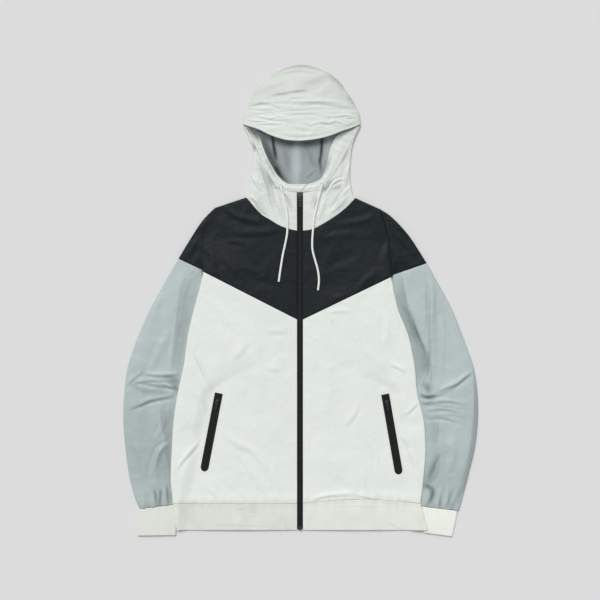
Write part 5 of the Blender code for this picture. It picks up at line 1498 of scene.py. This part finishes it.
def makeHoodFront():
    edge, seam = smoothLine(visorEdge, 10), smoothLine(visorSeam, 10)
    across = 250.0
    us = spread(across, hood["step"], domeSteps, domeSteps)[0] / across
    vs = spread(48.0, 2.0, (0.0, 0.15, 0.5, 1.1, 1.8, 3.0), (0.0, 0.25, 0.7, 1.4))[0] / 48.0
    low, high = lineAt(edge, us), lineAt(seam, us) - np.array([0, 0.04])
    place = low[None] * (1 - vs[:, None, None]) + high[None] * vs[:, None, None]
    x, y = place[..., 0], place[..., 1]
    u = us[None, :] + 0 * x
    fromRim = np.hypot(*(high - low).T)[None, :] * vs[:, None]
    toSeam = np.hypot(*(high - low).T)[None, :] * (1 - vs[:, None])
    toSide = np.minimum(u, 1 - u) * across
    calm = foldTurn(toSide, 16) * foldTurn(fromRim, 6) * foldTurn(toSeam, 5)
    z = hoodFront(u) + 0.6
    relief = creaseField(x, y, hood["visorCreases"], 251, hood["gain"], 0.8)
    z += calm * (relief + 0.5 * cloud(x, y, 34, 252) + 0.7 * crinkle(x, y * 2.2, 26, 253))
    z += seamDip(fromRim, 1.0, 2.2) + seamDip(toSeam, 0.25)
    z -= 0.35 * np.exp(-((fromRim - 6) / 0.9) ** 2) * foldTurn(toSide, 10)     # the row of stitches along the rim
    points = np.stack([x, y, z], axis=-1)
    visor = cloth("hood_visor_cloth", points, hood["visorWall"], looks["hood"], ["hood_visor"])

    bottom = lineAt(seam, np.linspace(0, 1, 80)) + np.array([0, 0.04])
    top = smoothLine(crownTop, 10)
    right = smoothLine([tuple(bottom[0])] + [(-a, y) for a, y in crownEdge["right"][2:]], 10)
    left = smoothLine([tuple(bottom[-1])] + crownEdge["left"][2:], 10)
    right[-1], left[-1] = top[0], top[-1]
    tall = 95.0
    vs = spread(tall, hood["step"], (0.0, 0.25, 0.7, 1.4), (0.0, 0.06, 0.25, 0.6, 1.2, 2.2, 3.8, 6.0))[0] / tall
    place = patch(bottom, top, right, left, us[None, :], vs)
    x, y = place[..., 0], place[..., 1]
    u = us[None, :] + 0 * x
    toSide, fromSeam = np.minimum(u, 1 - u) * across, (vs * tall)[:, None] + 0 * x
    toTop = tall - fromSeam
    calm = foldTurn(toSide, 18) * foldTurn(fromSeam, 6) * foldTurn(toTop, 10)
    z = hoodFront(u, vs[:, None]) + 0.6
    relief = creaseField(x, y, hood["crownCreases"], 261, hood["gain"], 0.85)
    z += calm * (relief + 0.9 * cloud(x, y, 40, 262) + 0.8 * crinkle(x, y * 2.0, 30, 263))
    z += seamDip(fromSeam, 0.25)
    # painted shade: strokes along the crown's folds and its top, and the crown darker towards its top
    tone = paintedShadeField(x, y, hood["crownPaintedShade"], 267, 1.35) + 0.11 * ease(fromSeam / 45)
    points = np.stack([x, y, z], axis=-1)
    crown = cloth(
        "hood_crown_cloth", points, hood["thickness"], looks["hood"], ["hood_crown"], tone=tone)
    return visor, crown


def makeHoodBack():
    bottom = backNeck(np.linspace(0, 1, 60)) + np.array([0, 0.35])
    top = smoothLine(crownTop, 10)
    rightEdge = hoodSideEdge["right"][1:] + crownEdge["right"]
    right = smoothLine([tuple(bottom[0])] + [(-a, y) for a, y in rightEdge], 10)
    left = smoothLine([tuple(bottom[-1])] + hoodSideEdge["left"][1:] + crownEdge["left"], 10)
    across, tall = 215.0, 262.0
    us = spread(across, 3.6, foldSteps, foldSteps)[0] / across
    vs = spread(tall, 3.6, seamSteps, foldSteps)[0] / tall
    place = patch(bottom, top, right, left, us[None, :], vs)
    x, y = place[..., 0], place[..., 1]
    fromFold = np.minimum(np.minimum(us, 1 - us)[None, :] * across, ((1 - vs) * tall)[:, None] + 0 * x)
    fromSeam = (vs * tall)[:, None] + 0 * x
    dent = np.clip(0.9 * cloud(x, y, 44, 271) + 0.7 * crinkle(x, y, 34, 272), 0, 1.1)
    dent *= foldTurn(fromFold, 14) * foldTurn(fromSeam, 8)
    rim = hoodSeamZ - 0.15
    z = rim + (dent - rim) * foldTurn(fromFold)
    points = np.stack([x, y, z], axis=-1)
    return cloth(
        "hood_back_cloth", points, hood["thickness"], looks["hood"], ["hood_back"], flip=True)


def makeLining():
    leftSide = smoothLine([(54, 352), (76, 392), (92, 430), (98, 464)], 8)
    rightSide = smoothLine([(-48, 352), (-68, 392), (-82, 430), (-92, 466)], 8)
    us = np.linspace(0, 1, 80)
    vs = np.linspace(0, 1, 64)
    first, last = lineAt(rightSide, vs), lineAt(leftSide, vs)
    place = first[:, None] * (1 - us[None, :, None]) + last[:, None] * us[None, :, None]
    x = place[..., 0]
    y = place[..., 1] + 18 * vs[:, None] * np.sin(np.pi * us[None, :])
    inside = foldTurn(np.minimum(us, 1 - us)[None, :] * 150 + 0 * x, 22)
    z = 2.9 + inside * (creaseField(x, y, hood["liningCreases"], 281, 1.3) + 0.5 * cloud(x, y, 26, 282) + 0.5)
    # tone: painted shade under the visor and in creases, and a painted highlight on the lining's middle ridge
    return cloth(
        "hood_lining_cloth", np.stack([x, y, np.maximum(z, 2.4)], axis=-1), 0.6, looks["lining"],
        ["hood_lining"], tone=paintedShadeField(x, y, hood["liningPaintedShadeAndHighlight"], 287, 1.75))


hoodSides = {side: makeHoodSide(side) for side in sides}
casings = {side: makeCasing(side) for side in sides}
visor, crown = makeHoodFront()
makeHoodBack()
makeLining()
print("hood ready")


def newBlock(name, size):
    # a block about the origin, size in millimetres
    clearSelection()
    bpy.ops.mesh.primitive_cube_add(size=1)
    item = bpy.context.object
    item.name = name
    item.scale = [c * mm for c in size]
    bpy.ops.object.transform_apply(location=False, rotation=False, scale=True)
    return item


def pickFaces(item, test):
    # leaves edit mode on, with the faces that pass the test selected; places in millimetres
    bpy.ops.object.mode_set(mode="EDIT")
    bpy.ops.mesh.select_mode(type="FACE")
    bpy.ops.mesh.select_all(action="DESELECT")
    bpy.ops.object.mode_set(mode="OBJECT")
    for face in item.data.polygons:
        face.select = bool(test(face.center / mm, face.normal))
    bpy.ops.object.mode_set(mode="EDIT")


def pickEdges(item, test):
    bpy.ops.object.mode_set(mode="EDIT")
    bpy.ops.mesh.select_mode(type="EDGE")
    bpy.ops.mesh.select_all(action="DESELECT")
    bpy.ops.object.mode_set(mode="OBJECT")
    points = item.data.vertices
    for edge in item.data.edges:
        first, last = (points[i].co / mm for i in edge.vertices)
        edge.select = bool(test(first, last))
    bpy.ops.object.mode_set(mode="EDIT")


def applyBevel(item, width, segments=2, angle=0.6):
    selectOnly(item)
    edges = item.modifiers.new("edges", "BEVEL")
    edges.width = width * mm
    edges.segments = segments
    edges.angle_limit = angle
    bpy.ops.object.modifier_apply(modifier="edges")
    bpy.ops.object.shade_smooth_by_angle(angle=0.7)


def cutWith(item, cutter):
    selectOnly(item)
    cut = item.modifiers.new("cut", "BOOLEAN")
    cut.operation = "DIFFERENCE"
    cut.object = cutter
    bpy.ops.object.modifier_apply(modifier="cut")
    bpy.data.objects.remove(cutter)


def joinPieces(items):
    selectOnly(*items)
    bpy.ops.object.join()
    return items[0]


def putAt(item, place, turn=0.0):
    # moves the mesh itself, so that the object stays at the origin
    selectOnly(item)
    item.location = [c * mm for c in place]
    item.rotation_euler = (0, 0, turn)
    bpy.ops.object.transform_apply(location=True, rotation=True, scale=True)
    return item


def addUv(item):
    # every hard piece has a map of the same name, flat from above
    layer = item.data.uv_layers.get("cloth") or item.data.uv_layers.new(name="cloth")
    item.data.uv_layers.active = layer
    for loop in item.data.loops:
        spot = item.data.vertices[loop.vertex_index].co
        layer.data[loop.index].uv = (spot.x, spot.y)


def boxOf(node):
    low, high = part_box(node)
    return np.array(low) / mm, np.array(high) / mm


slider = {
    "width": 9.6, "length": 14.0, "plate": 1.3, "bail": (2.7, 0.62), "bailHigh": 3.0, "tab": 5.6, "tabLength": 19.6,
    "tabThick": 1.2,
}


def makeSliderBody(name, scale, withBase):
    # top plate: narrow at the tail, with a raised middle
    wide, long, plate = slider["width"] * scale, slider["length"] * scale, slider["plate"] * scale
    body = newBlock(name, (wide, long, plate))
    pickFaces(body, lambda c, n: n.y < -0.9)
    bpy.ops.transform.resize(value=(0.72, 1, 1))
    pickEdges(body, lambda p, q: abs(p.x - q.x) < 0.01 and abs(p.y - q.y) < 0.01)
    bpy.ops.mesh.bevel(offset=1.7 * scale * mm, segments=4)
    pickFaces(body, lambda c, n: n.z > 0.9)
    bpy.ops.mesh.inset(thickness=1.1 * scale * mm)
    bpy.ops.mesh.extrude_region_move(TRANSFORM_OT_translate={"value": (0, 0, 0.28 * scale * mm)})
    bpy.ops.transform.resize(value=(0.86, 0.9, 1))
    bpy.ops.object.mode_set(mode="OBJECT")
    applyBevel(body, 0.22 * scale)
    pieces = [body]
    if withBase:
        base = newBlock(name + "_base", (wide * 0.94, long * 0.95, 1.0))
        pickFaces(base, lambda c, n: n.y < -0.9)
        bpy.ops.transform.resize(value=(0.74, 1, 1))
        bpy.ops.object.mode_set(mode="OBJECT")
        applyBevel(base, 0.25)
        putAt(base, (0, 0, withBase))
        pieces.append(base)
        post = newBlock(name + "_post", (1.8, 4.0, abs(withBase)))
        applyBevel(post, 0.3)
        putAt(post, (0, 4.6 * scale, withBase / 2))
        pieces.append(post)
    # the bail is the upper half of a ring over the plate
    clearSelection()
    bpy.ops.mesh.primitive_torus_add(
        major_radius=slider["bail"][0] * scale * mm, minor_radius=slider["bail"][1] * scale * mm, major_segments=28,
        minor_segments=10, rotation=(0, math.pi / 2, 0))
    bail = bpy.context.object
    bpy.ops.object.transform_apply(location=False, rotation=True, scale=False)
    bpy.ops.object.mode_set(mode="EDIT")
    bpy.ops.mesh.select_all(action="SELECT")
    bpy.ops.mesh.bisect(plane_co=(0, 0, -0.2 * scale * mm), plane_no=(0, 0, 1), clear_inner=True, use_fill=True)
    bpy.ops.mesh.select_all(action="SELECT")
    bpy.ops.transform.resize(value=(1.0, 1.2, 1.0))
    bpy.ops.object.mode_set(mode="OBJECT")
    bpy.ops.object.shade_smooth_by_angle(angle=0.8)
    putAt(bail, (0, 0, plate / 2))
    pieces.append(bail)
    return joinPieces(pieces)


def makePull(name, scale):
    # tab with a round end, an eye for the bail and a sunk grip; its hinge is on the origin
    wide, long, thick = slider["tab"] * scale, slider["tabLength"] * scale, slider["tabThick"] * scale
    tab = newBlock(name, (wide, long, thick))
    pickEdges(tab, lambda p, q: abs(p.z - q.z) > 0.1 and p.y < 0)
    bpy.ops.mesh.bevel(offset=wide * 0.47 * mm, segments=8)
    pickEdges(tab, lambda p, q: abs(p.z - q.z) > 0.1 and p.y > long * 0.45)
    bpy.ops.mesh.bevel(offset=wide * 0.2 * mm, segments=4)
    bpy.ops.object.mode_set(mode="OBJECT")
    eye = newBlock(name + "_eye", (1.9 * scale, 3.6 * scale, thick * 3))
    pickEdges(eye, lambda p, q: abs(p.z - q.z) > 0.1)
    bpy.ops.mesh.bevel(offset=0.7 * scale * mm, segments=4)
    bpy.ops.object.mode_set(mode="OBJECT")
    putAt(eye, (0, long / 2 - 3.2 * scale, 0))
    cutWith(tab, eye)
    for top in (1, -1):
        grip = newBlock(name + "_grip", (wide * 0.56, long * 0.42, 0.5 * scale))
        pickEdges(grip, lambda p, q: abs(p.z - q.z) > 0.1)
        bpy.ops.mesh.bevel(offset=wide * 0.22 * mm, segments=5)
        bpy.ops.object.mode_set(mode="OBJECT")
        putAt(grip, (0, -long * 0.2, top * thick / 2))
        cutWith(tab, grip)
    applyBevel(tab, 0.2 * scale)
    return putAt(tab, (0, 0.6 * scale - long / 2, 0))


def placeSlider(node, pullNode, turn, scale, name, base=None):
    low, high = boxOf(node)
    plateTop = high[2] - slider["bailHigh"] * scale
    x, y = (low[0] + high[0]) / 2, (low[1] + high[1]) / 2
    piece = makeSliderBody(name, scale, base)
    putAt(piece, (x, y, plateTop - slider["plate"] * scale / 2), turn)
    addUv(piece)
    dress(piece, looks["metal"], [node])
    joint = next(j for j in frame["joints"] if j["child"] == pullNode)   # each tab's body has its node's name
    hinge = np.array(joint["pos_m"], float) / mm
    pull = makePull(name + "_pull", scale)
    putAt(pull, hinge, turn)
    addUv(pull)
    dress(pull, looks["metal"], [pullNode], pullNode)


zipper = {
    "bottom": -327.0, "top": 343.0, "firstTooth": -319.0, "lastTooth": 332.0, "pitch": 1.25, "tooth": (3.0, 0.95, 1.9),
    "out": 0.85,      # how far each row of teeth stands from the middle
}


def centreHeight(y):
    # middle of the front wall on the zip's line
    return frontHeight("left", zipEdge + 0 * np.asarray(y, float), np.asarray(y, float)) - 0.6


def makeZipTape(side):
    y = np.append(np.arange(zipper["top"], zipper["bottom"], -3.9), zipper["bottom"])
    a = np.array([0.2, 0.35, 0.8, 2.4, 4.4, 6.4, 8.4, 10.2, 10.8, 11.0])
    lip = 0.35 * foldTurn(np.minimum(a - a[0], a[-1] - a), 0.6)
    x = sides[side] * np.broadcast_to(a, (len(y), len(a)))
    z = (centreHeight(y) - 1.35)[:, None] + lip[None, :]
    points = np.stack([x, np.broadcast_to(y[:, None], x.shape), z], axis=-1)
    return cloth(
        "zip_tape_cloth_" + side, points, 0.8, looks["tape"], ["zip_tape_" + side], flip=(side == "left"))


def makeTooth(size):
    tooth = newBlock("tooth", size)
    pickFaces(tooth, lambda c, n: n.x > 0.9)
    bpy.ops.transform.resize(value=(1, 1.25, 0.8))
    bpy.ops.mesh.extrude_region_move(TRANSFORM_OT_translate={"value": (0.25 * mm, 0, 0)})
    bpy.ops.transform.resize(value=(1, 0.6, 0.6))
    bpy.ops.object.mode_set(mode="OBJECT")
    applyBevel(tooth, 0.16, 1, 0.3)
    return tooth


def repeatPiece(name, model, spots):
    # one mesh of many copies; each spot is (x, y, z, turn) in millimetres and radians
    count = len(model.data.vertices)
    base = np.empty(count * 3)
    model.data.vertices.foreach_get("co", base)
    base = base.reshape(-1, 3)
    polygons = [list(face.vertices) for face in model.data.polygons]
    spots = np.array(spots, float)
    cos, sin = np.cos(spots[:, 3])[:, None], np.sin(spots[:, 3])[:, None]
    x = base[None, :, 0] * cos - base[None, :, 1] * sin + spots[:, :1] * mm
    y = base[None, :, 0] * sin + base[None, :, 1] * cos + spots[:, 1:2] * mm
    z = base[None, :, 2] + spots[:, 2:3] * mm
    vertices = np.stack([x, y, z], axis=-1).reshape(-1, 3)
    faces = [[v + k * count for v in face] for k in range(len(spots)) for face in polygons]
    return meshObject(name, vertices, faces, vertices[:, :2])


def makeZipTeeth():
    model = makeTooth(zipper["tooth"])
    spots = []
    y, number = zipper["firstTooth"], 0
    while y < zipper["lastTooth"]:
        out, turn = (-zipper["out"], 0.0) if number % 2 else (zipper["out"], math.pi)
        spots.append((out, y, float(centreHeight(y)) + 0.3, turn))
        y += zipper["pitch"]
        number += 1
    teeth = repeatPiece("zip_teeth_row", model, spots)
    bpy.data.objects.remove(model)
    return dress(teeth, looks["teeth"], ["zip_teeth"])


def makeStops():
    for side in sides:
        low, high = boxOf("zip_stop_" + side)
        stop = newBlock("zip_top_stop_" + side, tuple(high - low))
        pickFaces(stop, lambda c, n: abs(n.z) > 0.9)
        bpy.ops.mesh.inset(thickness=0.4 * mm)
        bpy.ops.object.mode_set(mode="OBJECT")
        applyBevel(stop, 0.35, 3)
        putAt(stop, tuple((low + high) / 2))
        addUv(stop)
        dress(stop, looks["metal"], ["zip_stop_" + side])
    low, high = boxOf("zip_box")
    size = high - low
    box = newBlock("zip_bottom_box", tuple(size))
    pickEdges(box, lambda p, q: abs(p.z - q.z) > 0.1)
    bpy.ops.mesh.bevel(offset=1.3 * mm, segments=4)
    pickFaces(box, lambda c, n: n.z > 0.9)
    bpy.ops.mesh.inset(thickness=0.9 * mm)
    bpy.ops.mesh.extrude_region_move(TRANSFORM_OT_translate={"value": (0, 0, -0.35 * mm)})
    bpy.ops.object.mode_set(mode="OBJECT")
    groove = newBlock("zip_bottom_slot", (0.9, size[1] * 0.8, 1.2))
    putAt(groove, (0, size[1] * 0.15, size[2] / 2))
    cutWith(box, groove)
    applyBevel(box, 0.25)
    putAt(box, tuple((low + high) / 2))
    addUv(box)
    dress(box, looks["metal"], ["zip_box"])


for side in sides:
    makeZipTape(side)
makeZipTeeth()
makeStops()
placeSlider("zip_slider", "zip_pull", 0.0, 1.0, "zip_slider_body", -5.05)
print("front zip ready")


def pocketPoint(side, d, across=0.0):
    # place at distance d down the pocket's middle line and across it, outward positive
    top, bottom = (np.array(p, float) for p in pocket["line"][side])
    down = (bottom - top) / np.hypot(*(bottom - top))
    out = np.array([-down[1], down[0]])
    d, across = np.asarray(d, float)[..., None], np.asarray(across, float)[..., None]
    return top + down * d + out * across


def makePocket(side):
    top, bottom = (np.array(p, float) for p in pocket["line"][side])
    length = float(np.hypot(*(bottom - top)))
    radius, half = pocket["round"], pocket["half"]
    turn = np.sin(np.linspace(0, 1, 12) * np.pi / 2)
    d = np.concatenate([
        zipSteps[:-1], np.linspace(zipSteps[-1], length - radius, 64), length - radius + radius * turn[1:]])
    past = np.clip((d - (length - radius)) / radius, 0, 0.9999)
    halves = half * np.sqrt(1 - past ** 2)
    rim = np.array([0, 0.012, 0.05, 0.11])
    share = np.concatenate([rim - 1, np.linspace(-0.8, 0.8, 19), 1 - rim[::-1]])
    across = halves[:, None] * share[None, :]
    place = pocketPoint(side, d[:, None] + 0 * across, across)
    a, y = place[..., 0], place[..., 1]
    fromRim = np.minimum(np.minimum(half - np.abs(across), d[:, None]), np.maximum(length - d[:, None], 0))
    fromRim = np.where(past[:, None] > 0, np.minimum(halves[:, None] - np.abs(across), length - d[:, None]), fromRim)
    rise = 0.3 + 1.25 * foldTurn(fromRim, 2.2)
    rise -= 0.35 * np.exp(-(across / 2.6) ** 4) * foldTurn(fromRim, 4)
    z = frontHeight(side, a, y) + rise
    points = np.stack([sides[side] * a, y, z], axis=-1)
    cloth(
        "pocket_welt_" + side, points, 0.7, looks["tape"], ["pocket_tape_" + side], flip=(side == "left"))
    model = makeTooth(tuple(c * pocket["scale"] for c in zipper["tooth"]))
    angle = math.atan2(sides[side] * (bottom - top)[0], -(bottom - top)[1])
    spots, run, number = [], pocket["firstTooth"], 0
    while run < length - radius - 1:
        spot = pocketPoint(side, run)
        out, turn = (-0.62, angle) if number % 2 else (0.62, angle + math.pi)
        high = float(frontHeight(side, spot[0], spot[1])) + 2.15
        spots.append((sides[side] * spot[0] + out * math.cos(angle), spot[1] + out * math.sin(angle), high, turn))
        run += zipper["pitch"] * pocket["scale"]
        number += 1
    teeth = repeatPiece("pocket_teeth_row_" + side, model, spots)
    bpy.data.objects.remove(model)
    dress(teeth, looks["teeth"], ["pocket_teeth_" + side])
    placeSlider(
        "pocket_slider_" + side, "pocket_pull_" + side, angle, pocket["scale"], "pocket_slider_body_" + side)


for side in sides:
    makePocket(side)
print("pocket zips ready")


def makeEyelet(side):
    low, high = boxOf("eyelet_" + side)
    wide = (high[0] - low[0]) / 2
    clearSelection()
    bpy.ops.mesh.primitive_torus_add(
        major_radius=(wide - 0.8) * mm, minor_radius=0.8 * mm, major_segments=40, minor_segments=12)
    ring = bpy.context.object
    ring.name = "eyelet_ring_" + side
    bpy.ops.object.mode_set(mode="EDIT")
    bpy.ops.mesh.select_all(action="SELECT")
    bpy.ops.transform.resize(value=(1, 1, 0.62))
    bpy.ops.mesh.bisect(plane_co=(0, 0, -0.3 * mm), plane_no=(0, 0, 1), clear_inner=True, use_fill=True)
    bpy.ops.object.mode_set(mode="OBJECT")
    bpy.ops.object.shade_smooth_by_angle(angle=0.8)
    putAt(ring, ((low[0] + high[0]) / 2, (low[1] + high[1]) / 2, low[2] + 0.3))
    addUv(ring)
    return dress(ring, looks["eyelet"], ["eyelet_" + side])


for side in sides:
    makeEyelet(side)
print("eyelets ready")


stitch = {"length": 2.9, "pitch": 3.9, "wide": 0.42, "high": 0.34}
looks["whiteThread"] = braidedCord("white_thread", {"colour": (0.78, 0.81, 0.76), "strand": 0.0004})
looks["blackThread"] = braidedCord("black_thread", {"colour": (0.012, 0.014, 0.016), "strand": 0.0004})


def makeStitchModel():
    clearSelection()
    bpy.ops.mesh.primitive_uv_sphere_add(segments=6, ring_count=4, radius=0.5, rotation=(0, math.pi / 2, 0))
    model = bpy.context.object
    bpy.ops.object.transform_apply(location=False, rotation=True, scale=False)
    bpy.ops.object.mode_set(mode="EDIT")
    bpy.ops.mesh.select_all(action="SELECT")
    # flat where it lies
    bpy.ops.mesh.bisect(plane_co=(0, 0, -0.22), plane_no=(0, 0, 1), use_fill=True, clear_inner=True)
    bpy.ops.object.mode_set(mode="OBJECT")
    model.scale = (stitch["length"] * mm, stitch["wide"] * mm, stitch["high"] * mm)
    bpy.ops.object.transform_apply(location=False, rotation=False, scale=True)
    return model


def stitchSpots(line, height):
    # even stitches along a line of (x, y), lying on the cloth below
    line = smoothLine(line, 8) if len(line) > 2 else np.array(line, float)
    total = travelled(line)[-1]
    count = max(2, int(total / stitch["pitch"]))
    shares = (np.arange(count) + 0.5) / count
    here = lineAt(line, shares)
    ahead, behind = lineAt(line, np.clip(shares + 0.002, 0, 1)), lineAt(line, np.clip(shares - 0.002, 0, 1))
    heading = np.arctan2(*(ahead - behind).T[::-1])
    spots = []
    for (x, y), turn in zip(here, heading):
        z = height(x, y)
        if z is not None:
            spots.append((x, y, z + 0.06, turn))
    return spots


def stitchPiece(name, rows, below, thread):
    height = surfaceOf(below)
    spots = []
    for row in rows:
        spots += stitchSpots(row, height)
    item = repeatPiece(name, stitchModel, spots)
    item.data.shade_smooth()
    dress(item, looks[thread], [])


stitchModel = makeStitchModel()
for side in sides:
    sign = sides[side]
    hemLine, chevron = hem["seam"] + 3.4, torso[side][0]
    # distance out and share of the hem seam's arch
    hemStitches = [(24, 0), (90, 0.8), (150, 0.95), (torso[side][-1][2] - 14, 0.2)]

    def beside(points, sign=sign):
        return [(sign * a, y) for a, y in points]

    footAt = float(np.hypot(*np.subtract(*pocket["line"][side]))) - 8
    pocketTop = [pocketPoint(side, -3.2, c) for c in (-9.5, 0, 9.5)]
    pocketSides = [[pocketPoint(side, d, c) for d in np.linspace(-2, footAt, 6)] for c in (-11.0, 11.0)]
    pocketFoot = [pocketPoint(side, footAt + 11 * math.cos(t), 11 * math.sin(t)) for t in np.linspace(-1.5, 1.5, 9)]
    rows = [
        beside([(10.6, 84), (10.6, -100), (10.6, -272)]), beside([(18.6, 80), (18.6, -100), (18.6, -272)]),
        beside([(a, hemLine + hem["arch"][side] * rise) for a, rise in hemStitches]),
        beside(pocketTop), beside(pocketSides[0]), beside(pocketSides[1]), beside(pocketFoot),
    ]
    stitchPiece("stitching_front_" + side, rows, fronts[side], "whiteThread")
    seamStart, seamEnd = (zipEdge + 3, chevron[0] + 3.5), (chevron[2] - 4, chevron[1] + 3.0)
    arm = [tuple(armhole(side, w, -5.0)) for w in np.linspace(0.06, 0.90, 9)]
    rows = [
        beside([seamStart, seamEnd]), beside([(p[0], p[1] + 6.5) for p in (seamStart, seamEnd)]), beside(arm),
        beside([(10.6, 98), (10.6, 180), (10.6, 264)]), beside([(18.6, 104), (18.6, 180), (18.6, 264)]),
        beside([(a - 1.5, y - 4) for a, y in neckline[side]]),
    ]
    stitchPiece("stitching_yoke_" + side, rows, yokes[side], "blackThread")
    channel = [(o[0] * 0.76 + i[0] * 0.24, o[1] * 0.76 + i[1] * 0.24) for o, i in casingRows[side]][1:-1]
    stitchPiece("stitching_casing_" + side, [beside(channel)], casings[side], "whiteThread")
    rows = [beside([(10.6, 274), (10.6, 306), (10.6, 342)]), beside([(a + 1.0, y + 4) for a, y in neckline[side][1:]])]
    stitchPiece("stitching_collar_" + side, rows, hoodSides[side], "whiteThread")
    first, second = np.array(sleeveRows[side][0], float) + np.array([-2.1, -3.8])
    capSeam = [tuple(first + (second - first) * t) for t in (0.1, 0.5, 0.9)]
    stitchPiece("stitching_cap_" + side, [beside(capSeam)], sleeves[side], "whiteThread")


def shifted(line, up):
    return [(x, y + up) for x, y in line[1:-1]]


rows = [shifted(visorEdge, 6), shifted(visorEdge, 9), shifted(visorSeam, -4)]
stitchPiece("stitching_hood", rows, visor, "whiteThread")
stitchPiece("stitching_crown", [shifted(visorSeam, 4)], crown, "whiteThread")
bpy.data.objects.remove(stitchModel)
print("topstitching ready")
